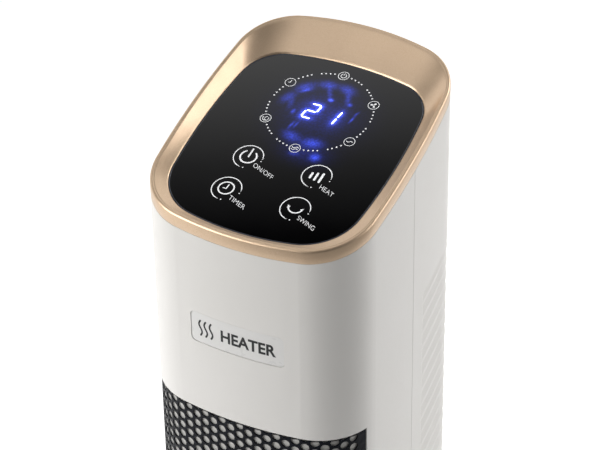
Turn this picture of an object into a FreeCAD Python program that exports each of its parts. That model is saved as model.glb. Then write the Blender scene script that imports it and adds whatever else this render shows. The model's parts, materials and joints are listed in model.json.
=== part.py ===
"""Ceramic tower heater that swings on a round base, with a sloping touch panel on top.

Millimetres, +Z up, front towards -Y. The origin is the centre of the base's underside,
on the swing axis. Every node is one object of the document, sized from the sheet "dims".
"""
import FreeCAD, Part
import math
import os
import re

import Sketcher
from FreeCAD import Placement, Rotation, Vector
from fcgear import fcgear, involute

doc = FreeCAD.newDocument("TowerHeater")
dims = doc.addObject("Spreadsheet::Sheet", "dims")

DIMENSIONS = {
    # tower section: front, side and rear bows joined by round corners
    "tower_half_width": 90, "tower_front": 106, "tower_rear": 106, "tower_widest": -12.5,
    "tower_front_bow": 274.7, "tower_side_bow": 705.8, "tower_rear_bow": 221.9,
    "tower_front_corner": 47.4, "tower_rear_corner": 45.5,
    # glass panel outline, seen from above
    "glass_half_width": 77.7, "glass_front": 98.2, "glass_rear": 77.2, "glass_widest": -12.5,
    "glass_front_bow": 211.5, "glass_side_bow": 446, "glass_rear_bow": 241.8,
    "glass_front_corner": 42.1, "glass_rear_corner": 32.7,
    # heights over the swing axis, and the slopes of the rim and of the glass
    "tower_bottom": 38, "rim_level": 611.6, "rim_band": 10.8, "rim_slope": 15,
    "glass_level": 603.8, "glass_slope": 12.7, "glass_thick": 3,
    # shells
    "wall": 2.5, "seam": 1, "seam_gap": 0.3, "fit": 0.2, "span": 900, "far": 150,
    "rim_lip": 2.8, "skirt_drop": 8, "panel_ledge": 4,
    "grille_low": 90, "grille_high": 414.4, "grille_edge": 68.2, "grille_inset": 0.6,
    "grille_sheet": 0.8, "grille_gap": 0.25,
    "badge_half_width": 38.2, "badge_low": 477.5, "badge_high": 504.5, "badge_corner": 4,
    "badge_depth": 1.2, "badge_thick": 0.8,
    "rib_start": 18.5, "rib_top": 473.7, "rib_pitch": 14, "rib_count": 26, "rib_gap": 0.5,
    "rib_crest": 0.1, "rib_depth": 1.3, "slot_half_width": 62, "slot_height": 2.4,
    "slot_front": 60,
    "grip_half_width": 46, "grip_low": 522, "grip_high": 554, "grip_corner": 14,
    "grip_front": 74, "grip_wall": 2,
    "boss_across": 60, "boss_front": 91.5, "boss_rear": 90, "boss_radius": 4.5,
    "boss_top": 60, "screw_radius": 1.5, "screw_head": 3.4, "screw_hole": 1.65,
    "screw_length": 16, "screw_head_height": 2,
    "floor_thick": 4, "floor_gap": 0.2,
    # outlet guard and ceramic heating element
    "guard_front": 2, "guard_back": 3, "guard_low": 93, "guard_high": 411, "guard_edge": 69,
    "guard_slot": 4, "guard_pitch": 12, "guard_blank": 75,
    "guard_slot_half_width": 70, "guard_flange": 2,
    "heater_half_width": 64, "heater_front": 87, "heater_back": 70, "heater_low": 102,
    "heater_high": 403, "heater_rail": 8, "ceramic_width": 8, "fin_width": 22,
    "fin_pitch": 10, "fin_thick": 1, "fin_inset": 2, "tab_width": 6.3, "tab_thick": 0.8,
    "tab_height": 12, "cutout_radius": 8, "cutout_height": 6, "fuse_radius": 2,
    "fuse_length": 14,
    # cross-flow blower
    "blower_y": 18, "wheel_radius": 38, "wheel_low": 104, "wheel_high": 400, "disc_thick": 2,
    "blade_count": 24, "blade_depth": 9, "blade_thick": 1.2, "blade_turn": 28,
    "scroll_radius": 44, "scroll_sheet": 0.8, "scroll_start": 75, "throat_half_width": 64,
    "throat_front": 69, "tongue_radius": 41, "tongue_end": -5,
    "plate_low": 98, "plate_high": 404, "plate_thick": 1.5, "plate_half_width": 68,
    "plate_front": 69, "plate_rear": 68, "shaft_radius": 3, "shaft_low": 57,
    "shaft_high": 411, "bush_outer": 6, "bush_height": 8, "run_fit": 0.06,
    "motor_radius": 32, "motor_low": 52, "motor_high": 92, "motor_wall": 3,
    "rotor_radius": 20, "rotor_gap": 0.4, "post_radius": 3.5, "post_circle": 27,
    "shaft_pass": 12,
    "screen_front": 6, "screen_back": 3.5, "screen_start": 42, "screen_low": 97,
    "screen_high": 505,
    # electronics
    "board_half_width": 55, "board_y": 34, "board_thick": 1.6, "board_low": 422,
    "board_high": 500, "bracket_gap": 5, "bracket_thick": 2, "bracket_foot": 22,
    "tray_depth": 7, "tray_wall": 2, "display_drop": 6.4, "display_edge": 2.3,
    "display_room": 3.3,
    "ring_radius": 39.6, "ring_up": 40.3, "led_long": 1.6, "led_wide": 1.2, "led_high": 0.9,
    "led_count": 54,
    "digit_wide": 38, "digit_tall": 22, "digit_right": 2, "digit_up": 38.5,
    "pad_radius": 8, "pad_across": 27.7, "pad_upper": -18.8, "pad_lower": -52.35,
    # mains rocker switch
    "switch_z": 70, "switch_half_width": 6.5, "switch_half_height": 10.3,
    "bezel_half_width": 8, "bezel_half_height": 12, "bezel_front": 105.4,
    "bezel_rear": 107.2, "switch_front": 90, "switch_cavity": 94, "cavity_half_width": 5.2,
    "cavity_half_height": 8.8, "rocker_y": 101, "rocker_half_width": 4.9,
    "rocker_half_height": 7.4, "rocker_edge": 6, "rocker_valley": 4.6, "rocker_root": 3.5,
    "rocker_tilt": 11, "rocker_pin": 1.2, "rocker_pin_half": 6.2,
    # swing drive
    "hub_radius": 20, "hub_bore": 14, "hub_flange": 34, "hub_flange_thick": 3,
    "gear_low": 23.5, "gear_high": 31.5, "gear_module": 1.5, "gear_teeth": 64,
    "pinion_teeth": 16, "mesh_play": 0.35, "gear_window_circle": 33, "gear_window": 7,
    "retainer_outer": 25, "retainer_thick": 3, "retainer_bore": 15,
    "washer_inner": 23, "washer_outer": 37, "drive_shaft": 3.5, "drive_low": 10,
    "swing_can": 25, "can_low": 5.5, "can_high": 20.5, "can_collar": 6,
    "ear_half_length": 34, "ear_half_width": 5, "ear_thick": 1.5, "ear_hole": 30,
    # base
    "base_radius": 130, "base_top": 36, "base_wall": 2.5, "base_round": 8, "cover_low": 3,
    "plate_gap": 0.3, "plate_bottom": 2.5, "plate_top": 5.5, "foot_radius": 9,
    "foot_circle": 112, "foot_count": 6, "ballast_inner": 92, "ballast_outer": 120,
    "ballast_thick": 5, "post_circle_base": 84, "post_base_radius": 5, "post_count": 6,
    "gland_z": 17, "gland_radius": 7, "gland_bore": 3.6, "gland_flange": 9.5,
    "gland_out": 129.6, "gland_in": 121, "gland_flange_thick": 2,
    # tip-over switch in the base
    "tip_x": 66, "tip_half": 9, "tip_top": 21.5, "tip_roof": 19.5, "plunger_radius": 4,
    "plunger_shoulder": 6, "shoulder_low": 10.8, "shoulder_high": 12.6, "plunger_top": 17,
    "plunger_neck": 2.5, "tip_play": 0.4, "spring_radius": 4.2, "spring_wire": 0.5,
    "spring_turns": 5,
}

for line, (name, number) in enumerate(DIMENSIONS.items(), start=1):
    dims.set(f"A{line}", name)
    dims.set(f"B{line}", str(number))
    dims.setAlias(f"B{line}", name)
doc.recompute()

ALONG_X = Rotation(Vector(0, 1, 0), 90)
ALONG_Y = Rotation(Vector(1, 0, 0), -90)
Z_AXIS = Vector(0, 0, 1)
# on the power board: name, left side, width, height above its edge, height, depth
BOARD_PARTS = (
    ("heat_relay", -44, 19, 8, 15, 16), ("boost_relay", -18, 19, 8, 15, 16),
    ("fan_triac", 8, 10, 8, 15, 5), ("line_filter", 26, 20, 6, 18, 9),
    ("supply", -44, 30, 40, 24, 18), ("varistor", 0, 9, 44, 11, 5),
    ("connector", 20, 26, 52, 8, 9),
)
nodes = []


# ---------------------------------------------------------------- sheet rules

def rule(text):
    """An expression in which each dimension's name points at its cell of the sheet."""
    return re.sub(r"[a-z][a-z_]*", lambda word: "dims." + word[0], text)


def value(text):
    """The present value of a rule."""
    return float(dims.evalExpression(rule(text)))


def bind(item, **rules):
    for prop, text in rules.items():
        item.setExpression(prop, rule(text))


def place(item, x, y, z):
    for axis, text in zip("xyz", (x, y, z)):
        item.setExpression("Placement.Base." + axis, rule(text))


def node(item, label):
    """Registers an object as one of the sub-parts; its label names its file."""
    item.Label = label
    nodes.append(item)
    return item


# ------------------------------------------------------- blocks, rods, booleans

def box(name, x, y, z):
    """A block between two planes on each axis, each given as a (low, high) pair of rules."""
    block = doc.addObject("Part::Box", name)
    for prop, (low, high) in zip(("Length", "Width", "Height"), (x, y, z)):
        block.setExpression(prop, rule(f"({high}) - ({low})"))
    place(block, x[0], y[0], z[0])
    return block


def rod(name, radius, low, high, across=("0", "0"), turn=None):
    """A cylinder from low to high along Z, or along the axis that turn gives."""
    piece = doc.addObject("Part::Cylinder", name)
    bind(piece, Radius=radius, Height=f"({high}) - ({low})")
    if turn is None:
        place(piece, across[0], across[1], low)
        return piece
    piece.Placement = Placement(Vector(), turn)
    if turn is ALONG_X:
        place(piece, low, across[0], across[1])
    else:
        place(piece, across[0], low, across[1])
    return piece


def cut(name, base, *tools):
    for tool in tools:
        step = doc.addObject("Part::Cut", name)
        step.Base, step.Tool = base, tool
        base = step
    return base


def fuse(name, *pieces):
    joined = doc.addObject("Part::MultiFuse", name)
    joined.Shapes = list(pieces)
    return joined


def common(name, base, tool):
    shared = doc.addObject("Part::Common", name)
    shared.Base, shared.Tool = base, tool
    return shared


def group(name, *pieces):
    """Separate solids that share one node."""
    bundle = doc.addObject("Part::Compound", name)
    bundle.Links = list(pieces)
    return bundle


def solid(name, shape):
    feature = doc.addObject("Part::Feature", name)
    feature.Shape = shape
    return feature


def tube(name, outer, inner, low, high, across=("0", "0")):
    return cut(name, rod(name + "_outer", outer, low, high, across),
               rod(name + "_bore", inner, f"({low}) - 1", f"({high}) + 1", across))


def round_corners(name, block, radius, axis):
    """Rounds the four edges of a block that run along one axis."""
    doc.recompute()
    edges = []
    for index, edge in enumerate(block.Shape.Edges, start=1):
        if abs(edge.tangentAt(edge.FirstParameter).dot(axis)) > 0.99:
            edges.append((index, value(radius), value(radius)))
    rounded = doc.addObject("Part::Fillet", name)
    rounded.Base = block
    rounded.Edges = edges
    return rounded


# ------------------------------------------------------------------- sketches

def hold(drawing, kind, references, text):
    """A measured constraint whose value is a rule."""
    index = drawing.addConstraint(Sketcher.Constraint(kind, *references, value(text)))
    drawing.renameConstraint(index, f"size{index}")
    drawing.setExpression(f"Constraints.size{index}", rule(text))


def pin(drawing, geometry, point, x, y):
    """Fixes a point of the drawing; a zero holds it on the axis."""
    for kind, text, axis in (("DistanceX", x, -2), ("DistanceY", y, -1)):
        if text == "0":
            drawing.addConstraint(Sketcher.Constraint("PointOnObject", geometry, point, axis))
        else:
            hold(drawing, kind, (-1, 1, geometry, point), text)


def circle(drawing, radius, x="0", y="0"):
    ring = Part.Circle(Vector(value(x), value(y), 0), Z_AXIS, value(radius))
    index = drawing.addGeometry(ring, False)
    hold(drawing, "Radius", (index,), radius)
    pin(drawing, index, 3, x, y)


def rectangle(drawing, x, y):
    """A rectangle between two (low, high) pairs of rules."""
    corners = [(x[0], y[0]), (x[1], y[0]), (x[1], y[1]), (x[0], y[1])]
    polygon(drawing, corners)


def polygon(drawing, corners):
    points = [Vector(value(x), value(y), 0) for x, y in corners]
    first = drawing.GeometryCount
    count = len(points)
    for index in range(count):
        drawing.addGeometry(Part.LineSegment(points[index], points[(index + 1) % count]), False)
    for index, (x, y) in enumerate(corners):
        previous = first + (index - 1) % count
        drawing.addConstraint(Sketcher.Constraint("Coincident", previous, 2, first + index, 1))
        pin(drawing, first + index, 1, x, y)


def meeting(centre_a, radius_a, centre_b, radius_b, towards):
    """The point at the two given distances from two centres, furthest towards a direction."""
    line = centre_b - centre_a
    along = (line.Length ** 2 + radius_a ** 2 - radius_b ** 2) / (2 * line.Length)
    aside = math.sqrt(radius_a ** 2 - along ** 2)
    line.normalize()
    normal = Vector(-line.y, line.x, 0)
    choices = [centre_a + line * along + normal * aside * side for side in (1, -1)]
    return max(choices, key=lambda point: point.dot(towards))


def outline(drawing, family, inset="0"):
    """Eight tangent arcs: front, side and rear bows with corner arcs between them."""
    size = {key: value(f"{family}_{key}") for key in
            ("half_width", "front", "rear", "widest", "front_bow", "side_bow", "rear_bow",
             "front_corner", "rear_corner")}
    inner = value(inset)
    front_radius, side_radius, rear_radius = (size[key] - inner for key in
                                              ("front_bow", "side_bow", "rear_bow"))
    near, back = size["front_corner"] - inner, size["rear_corner"] - inner
    front = Vector(0, size["front_bow"] - size["front"], 0)
    rear = Vector(0, size["rear"] - size["rear_bow"], 0)
    side = Vector(size["half_width"] - size["side_bow"], size["widest"], 0)
    near_corner = meeting(front, front_radius - near, side, side_radius - near, Vector(1, -1, 0))
    back_corner = meeting(rear, rear_radius - back, side, side_radius - back, Vector(1, 1, 0))

    def bearing(centre, point):
        return math.atan2(point.y - centre.y, point.x - centre.x)

    def mirrored(centre):
        return Vector(-centre.x, centre.y, 0)

    turns = (bearing(front, near_corner), bearing(side, near_corner),
             bearing(side, back_corner), bearing(rear, back_corner))
    half = math.pi
    arcs = (
        (front, front_radius, -half - turns[0], turns[0]),
        (near_corner, near, turns[0], turns[1]),
        (side, side_radius, turns[1], turns[2]),
        (back_corner, back, turns[2], turns[3]),
        (rear, rear_radius, turns[3], half - turns[3]),
        (mirrored(back_corner), back, half - turns[3], half - turns[2]),
        (mirrored(side), side_radius, half - turns[2], half - turns[1]),
        (mirrored(near_corner), near, half - turns[1], half - turns[0]),
    )
    for centre, radius, start, end in arcs:
        drawing.addGeometry(Part.ArcOfCircle(Part.Circle(centre, Z_AXIS, radius), start, end))
    for index in range(8):
        drawing.addConstraint(Sketcher.Constraint("Tangent", index, 2, (index + 1) % 8, 1))
    for left, right in ((7, 1), (6, 2), (5, 3)):
        drawing.addConstraint(Sketcher.Constraint("Equal", right, left))
    radii = ("front_bow", "front_corner", "side_bow", "rear_corner", "rear_bow")
    for index, key in enumerate(radii):
        hold(drawing, "Radius", (index,), f"{family}_{key} - ({inset})")
    pin(drawing, 0, 3, "0", f"{family}_front_bow - {family}_front")
    pin(drawing, 4, 3, "0", f"{family}_rear - {family}_rear_bow")
    pin(drawing, 2, 3, f"{family}_half_width - {family}_side_bow", f"{family}_widest")
    pin(drawing, 6, 3, f"{family}_side_bow - {family}_half_width", f"{family}_widest")


def prism(name, family, inset, low, high):
    """The upright prism on an outline, drawn inset from it by a rule."""
    drawing = doc.addObject("Sketcher::SketchObject", name + "_outline")
    outline(drawing, family, inset)
    place(drawing, "0", "0", low)
    block = doc.addObject("Part::Extrusion", name)
    block.Base = drawing
    block.DirMode = "Normal"
    block.Solid = True
    bind(block, LengthFwd=f"({high}) - ({low})")
    return block


def skin(name, outer, inner, low, high):
    """The band of the tower's section between two insets."""
    return cut(name, prism(name + "_outside", "tower", outer, low, high),
               prism(name + "_inside", "tower", inner, f"({low}) - 1", f"({high}) + 1"))


def sloped(name, level, slope, side):
    """A large block on one side (1 above, -1 below) of a plane that rises to the rear."""
    block = doc.addObject("Part::Box", name)
    bind(block, Length="span", Width="span", Height="span")
    span = value("span")
    corner = Vector(-span / 2, -span / 2, 0 if side > 0 else -span)
    turn = Placement(Vector(0, 0, value(level)), Rotation(Vector(1, 0, 0), value(slope)))
    block.Placement = turn.multiply(Placement(corner, Rotation()))
    return block


# ----------------------------------------------------------- PartDesign bodies

def body(label):
    owner = doc.addObject("PartDesign::Body", label)
    return node(owner, label)


def sketch(owner, name, level="0"):
    """A drawing on the body's own XY plane, lifted to a level."""
    ground = next(item for item in owner.Origin.OriginFeatures if item.Role == "XY_Plane")
    drawing = owner.newObject("Sketcher::SketchObject", name)
    drawing.AttachmentSupport = [(ground, "")]
    drawing.MapMode = "FlatFace"
    drawing.setExpression("AttachmentOffset.Base.z", rule(level))
    return drawing


def pad(owner, drawing, length):
    feature = owner.newObject("PartDesign::Pad", drawing.Name + "_pad")
    feature.Profile = drawing
    bind(feature, Length=length)
    drawing.Visibility = False
    return feature


def pocket(owner, drawing, length):
    """Cuts down from the drawing, and makes sure that it removed something."""
    doc.recompute()
    before = owner.Shape.Volume
    feature = owner.newObject("PartDesign::Pocket", drawing.Name + "_pocket")
    feature.Profile = drawing
    bind(feature, Length=length)
    doc.recompute()
    if owner.Shape.Volume > before - 0.1:
        raise RuntimeError(f"{drawing.Name} removed nothing")
    return feature


def fillet(owner, feature, radius, wanted):
    """Rounds the edges of a feature for which wanted(edge) is true."""
    doc.recompute()
    names = [f"Edge{index}" for index, edge in enumerate(feature.Shape.Edges, start=1)
             if wanted(edge)]
    rounded = owner.newObject("PartDesign::Fillet", feature.Name + "_round")
    rounded.Base = (feature, names)
    bind(rounded, Radius=radius)
    return rounded


# --------------------------------------------------------------- tower casing

def make_shells():
    """Front and rear shells, with their screw bosses, grille opening and intake ribs."""
    above_band = sloped("above_band", "rim_level - rim_band", "rim_slope", 1)
    top = "rim_level + far"

    def half(name, y):
        wall = skin(name + "_wall", "0", "wall", "tower_bottom", top)
        return common(name + "_half", wall, box(name + "_side", ("-far", "far"), y,
                                                ("0", "rim_level + far * 2")))

    def bosses(name, y):
        return [tube(f"{name}_boss_{side}", "boss_radius", "screw_hole",
                     "tower_bottom + floor_thick + floor_gap", "boss_top",
                     (f"{side} * boss_across", y)) for side in (-1, 1)]

    front = cut("front_opened", half("front", ("-far", "seam - seam_gap / 2")), above_band,
                box("grille_opening", ("-far", "far"), ("-far", "-grille_edge"),
                    ("grille_low", "grille_high")),
                badge_band("badge_recess", "-1", "badge_depth", "0"))
    node(fuse("front_shell", front, *bosses("front", "-boss_front")), "front_shell")

    rear = cut("rear_opened", half("rear", ("seam + seam_gap / 2", "far")), above_band,
               rib_cut(), intake_slots(),
               box("switch_opening", ("-switch_half_width - fit", "switch_half_width + fit"),
                   ("switch_cavity", "far"),
                   ("switch_z - switch_half_height - fit",
                    "switch_z + switch_half_height + fit")),
               grip_block("grip_opening", "grip_front", "far", "0"))
    node(fuse("rear_shell", rear, *bosses("rear", "boss_rear")), "rear_shell")


def badge_band(name, outer, inner, margin):
    """The rounded rectangle of the badge, between two insets of the front wall."""
    across = f"badge_half_width - ({margin})"
    block = box(name + "_block", (f"-({across})", across), ("-far", "-wall * 10"),
                (f"badge_low + ({margin})", f"badge_high - ({margin})"))
    rounded = round_corners(name + "_rounded", block, "badge_corner", Vector(0, 1, 0))
    band = skin(name + "_band", outer, inner, "badge_low - 10", "badge_high + 10")
    return common(name, rounded, band)


def grip_block(name, low, high, margin):
    """The rounded block of the hand grip, grown by a margin."""
    across = f"grip_half_width + ({margin})"
    block = box(name + "_block", (f"-({across})", across), (low, high),
                (f"grip_low - ({margin})", f"grip_high + ({margin})"))
    return round_corners(name, block, f"grip_corner + ({margin})", Vector(0, 1, 0))


def rib_cut():
    """The cut that leaves the intake ribs: each swells from its root to a crest and back."""
    normal = Rotation(Vector(1, 0, 0), value("rim_slope")).multVec(Z_AXIS)
    crest = prism("rib_crests", "tower", "-rib_crest", "0", "rim_level")
    root = prism("rib_roots", "tower", "rib_depth", "0", "rim_level")
    doc.recompute()

    def section(block, level):
        return block.Shape.slice(normal, normal.dot(Vector(0, 0, level)))[0]

    ribs = []
    for index in range(int(value("rib_count"))):
        high = value("rib_top") - value("rib_pitch") * index
        low = high - value("rib_pitch") + value("rib_gap")
        sections = [section(root, low), section(crest, (low + high) / 2), section(root, high)]
        ribs.append(Part.makeLoft(sections, True, True))
    band = common("rib_band", skin("rib_skin", "-1", "rib_depth", "0", "rim_level"),
                  box("rib_side", ("-far", "far"), ("rib_start", "far"), ("0", "rim_level")))
    return cut("rib_cut", band, sloped("above_ribs", "rib_top", "rim_slope", 1),
               sloped("below_ribs", "rib_top - rib_pitch * rib_count", "rim_slope", -1),
               solid("rib_solids", Part.makeCompound(ribs)))


def intake_slots():
    """Sloping air slots through the back wall, one in each valley between two ribs."""
    rise = math.tan(math.radians(value("rim_slope")))
    near, back = value("slot_front"), value("far")
    half_width, height = value("slot_half_width"), value("slot_height")
    slots = []
    for index in range(1, int(value("rib_count"))):
        level = value("rib_top + (rib_gap - slot_height) / 2") - value("rib_pitch") * index
        corners = [Vector(-half_width, y, level + y * rise + lift)
                   for y, lift in ((near, 0), (back, 0), (back, height), (near, height))]
        face = Part.Face(Part.makePolygon(corners + corners[:1]))
        slots.append(face.extrude(Vector(2 * half_width, 0, 0)))
    return solid("intake_slots", Part.makeCompound(slots))


def make_trim():
    """Sloping rim: a band on the tower's outline that dishes down to the glass."""
    band = cut("rim_prism", prism("rim_block", "tower", "0", "grille_high", "rim_level + far"),
               sloped("under_band", "rim_level - rim_band", "rim_slope", -1))
    skirt = cut("skirt_prism", prism("skirt_block", "tower", "wall + fit", "grille_high",
                                     "rim_level + far"),
                sloped("under_skirt", "glass_level - skirt_drop", "glass_slope", -1))
    dish = solid("rim_dish", dish_shape())
    seat = cut("glass_seat", prism("seat_block", "glass", "-fit", "grille_high",
                                   "rim_level + far"),
               sloped("under_seat", "glass_level - glass_thick", "glass_slope", -1),
               sloped("above_seat", "glass_level + 1", "glass_slope", 1))
    well = prism("panel_well", "glass", "panel_ledge", "grille_high - 1", "rim_level + far")
    trimmed = cut("rim_cut", fuse("rim_solid", band, skirt),
                  sloped("above_rim", "rim_level", "rim_slope", 1), dish, seat, well)
    node(trimmed, "top_trim_ring")


def section_wire(family, inset, level, slope):
    """An outline lifted on to a sloping plane."""
    drawing = prism(f"{family}_section", family, inset, "grille_high", "rim_level + far")
    doc.recompute()
    turn = Rotation(Vector(1, 0, 0), value(slope))
    normal = turn.multVec(Z_AXIS)
    wires = drawing.Shape.slice(normal, normal.dot(Vector(0, 0, value(level))))
    return wires[0]


def dish_shape():
    """The hollow of the rim, ruled from the glass edge to the lip round the top."""
    low = section_wire("glass", "0", "glass_level", "glass_slope")
    high = section_wire("tower", "rim_lip", "rim_level", "rim_slope")
    return Part.makeLoft([low, high], True, True)


def panel_layer(name, inset, top, bottom):
    """A slice parallel to the glass, between two depths below its face."""
    return cut(name, prism(name + "_block", "glass", inset, "grille_high", "rim_level + far"),
               sloped(name + "_top", f"glass_level - ({top})", "glass_slope", 1),
               sloped(name + "_bottom", f"glass_level - ({bottom})", "glass_slope", -1))


def on_panel(item, across, up, depth):
    """Lays an item below the panel: across and up the glass from the widest line."""
    slope = value("glass_slope")
    start = value("glass_widest")
    height = value("glass_level") + start * math.tan(math.radians(slope)) - depth
    panel = Placement(Vector(0, start, height), Rotation(Vector(1, 0, 0), slope))
    item.Placement = panel.multiply(Placement(Vector(across, up, 0), Rotation()))
    return item


def make_panel():
    """Touch glass and what lies below it: tray, board, digits, lamps and touch pads."""
    node(panel_layer("glass_plate", "0", "0", "glass_thick"), "touch_glass")
    shell = panel_layer("tray_solid", "panel_ledge + fit", "glass_thick",
                        "glass_thick + tray_depth")
    hollow = panel_layer("tray_hollow", "panel_ledge + fit + tray_wall", "glass_thick - 1",
                         "glass_thick + tray_depth - tray_wall")
    node(cut("tray", shell, hollow), "panel_tray")
    node(panel_layer("board", "panel_ledge + display_edge", "display_drop",
                     "display_drop + board_thick"), "display_board")

    deep = value("display_drop")
    digits = doc.addObject("Part::Box", "digits")
    bind(digits, Length="digit_wide", Width="digit_tall", Height="display_room")
    on_panel(digits, value("digit_right - digit_wide / 2"), value("digit_up - digit_tall / 2"),
             deep)
    node(digits, "digit_display")

    lamps = []
    lamp_count = int(value("led_count"))
    for index in range(lamp_count):
        lamp = doc.addObject("Part::Box", f"lamp_{index}")
        bind(lamp, Length="led_long", Width="led_wide", Height="led_high")
        turn = math.radians(index * 360 / lamp_count)
        on_panel(lamp, value("ring_radius") * math.sin(turn) - value("led_long") / 2,
                 value("ring_up") + value("ring_radius") * math.cos(turn)
                 - value("led_wide") / 2, deep)
        lamps.append(lamp)
    node(group("lamps", *lamps), "indicator_leds")

    pads = []
    for side in (-1, 1):
        for up in ("pad_upper", "pad_lower"):
            sponge = doc.addObject("Part::Cylinder", "touch_pad")
            bind(sponge, Radius="pad_radius", Height="display_room")
            pads.append(on_panel(sponge, side * value("pad_across"), value(up), deep))
    node(group("pads", *pads), "touch_pads")


def make_front_pieces():
    """Badge, perforated outlet grille and the guard behind it."""
    node(badge_band("badge", "badge_depth - badge_thick - run_fit", "badge_depth - run_fit",
                    "fit"), "badge_plate")

    sheet = skin("grille_skin", "grille_inset", "grille_inset + grille_sheet",
                 "grille_low + grille_gap", "grille_high - grille_gap")
    node(common("grille", sheet, box("grille_part", ("-far", "far"),
                                     ("-far", "-grille_edge - grille_gap"),
                                     ("0", "rim_level"))), "front_grille")

    window = box("guard_part", ("-far", "far"), ("-far", "-guard_edge"), ("0", "rim_level"))
    wall = common("guard_wall", skin("guard_skin", "guard_front", "guard_back", "guard_low",
                                     "guard_high"), window)
    flanges = []
    for name, low in (("low", "guard_low"), ("high", "guard_high - guard_flange")):
        ledge = skin(f"guard_{name}_skin", "wall + fit * 2", "guard_back + 6", low,
                     f"{low} + guard_flange")
        flanges.append(common(f"guard_{name}", ledge, window))
    slots = []
    level = value("guard_low + guard_pitch")
    while level < value("guard_high - guard_blank"):
        for side in (-1, 1):
            inner, outer = sorted((side * 3, side * value("guard_slot_half_width")))
            slot = Part.makeBox(outer - inner, value("far - guard_edge"), value("guard_slot"),
                                Vector(inner, -value("far"), level))
            slots.append(slot)
        level += value("guard_pitch")
    vents = solid("guard_slots", Part.makeCompound(slots))
    node(cut("guard", fuse("guard_solid", wall, *flanges), vents), "outlet_guard")


# -------------------------------------------------------------- heating element

def make_heater():
    """Frame, ceramic bars, fins, terminals and the two heat protectors on its top rail."""
    front, back = "-heater_front", "-heater_back"
    frame = cut("heater_surround",
                box("heater_block", ("-heater_half_width", "heater_half_width"),
                    (front, back), ("heater_low", "heater_high")),
                box("heater_window",
                    ("heater_rail - heater_half_width", "heater_half_width - heater_rail"),
                    ("-heater_front - 1", "-heater_back + 1"),
                    ("heater_low + heater_rail", "heater_high - heater_rail")))
    node(frame, "heater_frame")

    fin_y = ("-heater_front + fin_inset", "-heater_back - fin_inset")
    height = ("heater_low + heater_rail", "heater_high - heater_rail")
    bars = []
    tabs = []
    step = "(fin_width + ceramic_width)"
    for index in (-1, 0, 1):
        middle = f"{index} * {step}"
        bars.append(box(f"ceramic_bar_{index}",
                        (f"{middle} - ceramic_width / 2", f"{middle} + ceramic_width / 2"),
                        fin_y, height))
        tabs.append(box(f"terminal_{index}",
                        (f"{middle} - tab_width / 2", f"{middle} + tab_width / 2"),
                        ("-heater_back - fin_inset * 2", "-heater_back - fin_inset * 2"
                         " + tab_thick"), ("heater_high", "heater_high + tab_height")))
    node(group("ceramics", *bars), "ceramic_bars")
    node(group("terminals", *tabs), "heater_terminals")

    fins = []
    level = value(height[0]) + value("fin_pitch") / 2
    while level < value(height[1]) - value("fin_thick"):
        for column in range(4):
            left = (column - 2) * value(step) + value("ceramic_width") / 2
            fins.append(Part.makeBox(value("fin_width"), value(fin_y[1]) - value(fin_y[0]),
                                     value("fin_thick"), Vector(left, value(fin_y[0]), level)))
        level += value("fin_pitch")
    node(solid("fins", Part.makeCompound(fins)), "heater_fins")

    middle_y = "-(heater_front + heater_back) / 2"
    node(rod("cutout_disc", "cutout_radius", "heater_high", "heater_high + cutout_height",
             ("heater_half_width / 1.5", middle_y)), "thermal_cutout")
    node(rod("fuse_tube", "fuse_radius", "-heater_half_width / 1.5",
             "-heater_half_width / 1.5 + fuse_length",
             (middle_y, "heater_high + fuse_radius"), ALONG_X), "thermal_fuse")


# ---------------------------------------------------------------------- blower

def duct_sheet(radius, start, end, mouth):
    """A sheet that follows an arc round the wheel, then runs straight to the mouth."""
    centre = Vector(0, value("blower_y"), 0)

    def at(degrees):
        turn = math.radians(degrees)
        return centre + Vector(math.cos(turn), math.sin(turn), 0) * radius

    arc = Part.Arc(at(start), at((start + end) / 2), at(end)).toShape()
    line = Part.LineSegment(at(end), mouth).toShape()
    path = Part.Wire([arc, line])
    face = path.makeOffset2D(value("scroll_sheet"), 2, True, True, False)
    height = value("plate_high - plate_low - plate_thick")
    sheet = face.extrude(Vector(0, 0, height))
    sheet.translate(Vector(0, 0, value("plate_low + plate_thick")))
    return sheet


def leaving_angle(radius, mouth, side):
    """Where a straight line from the mouth touches the arc round the wheel."""
    offset = mouth - Vector(0, value("blower_y"), 0)
    bearing = math.degrees(math.atan2(offset.y, offset.x))
    return bearing + side * math.degrees(math.acos(radius / offset.Length))


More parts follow.
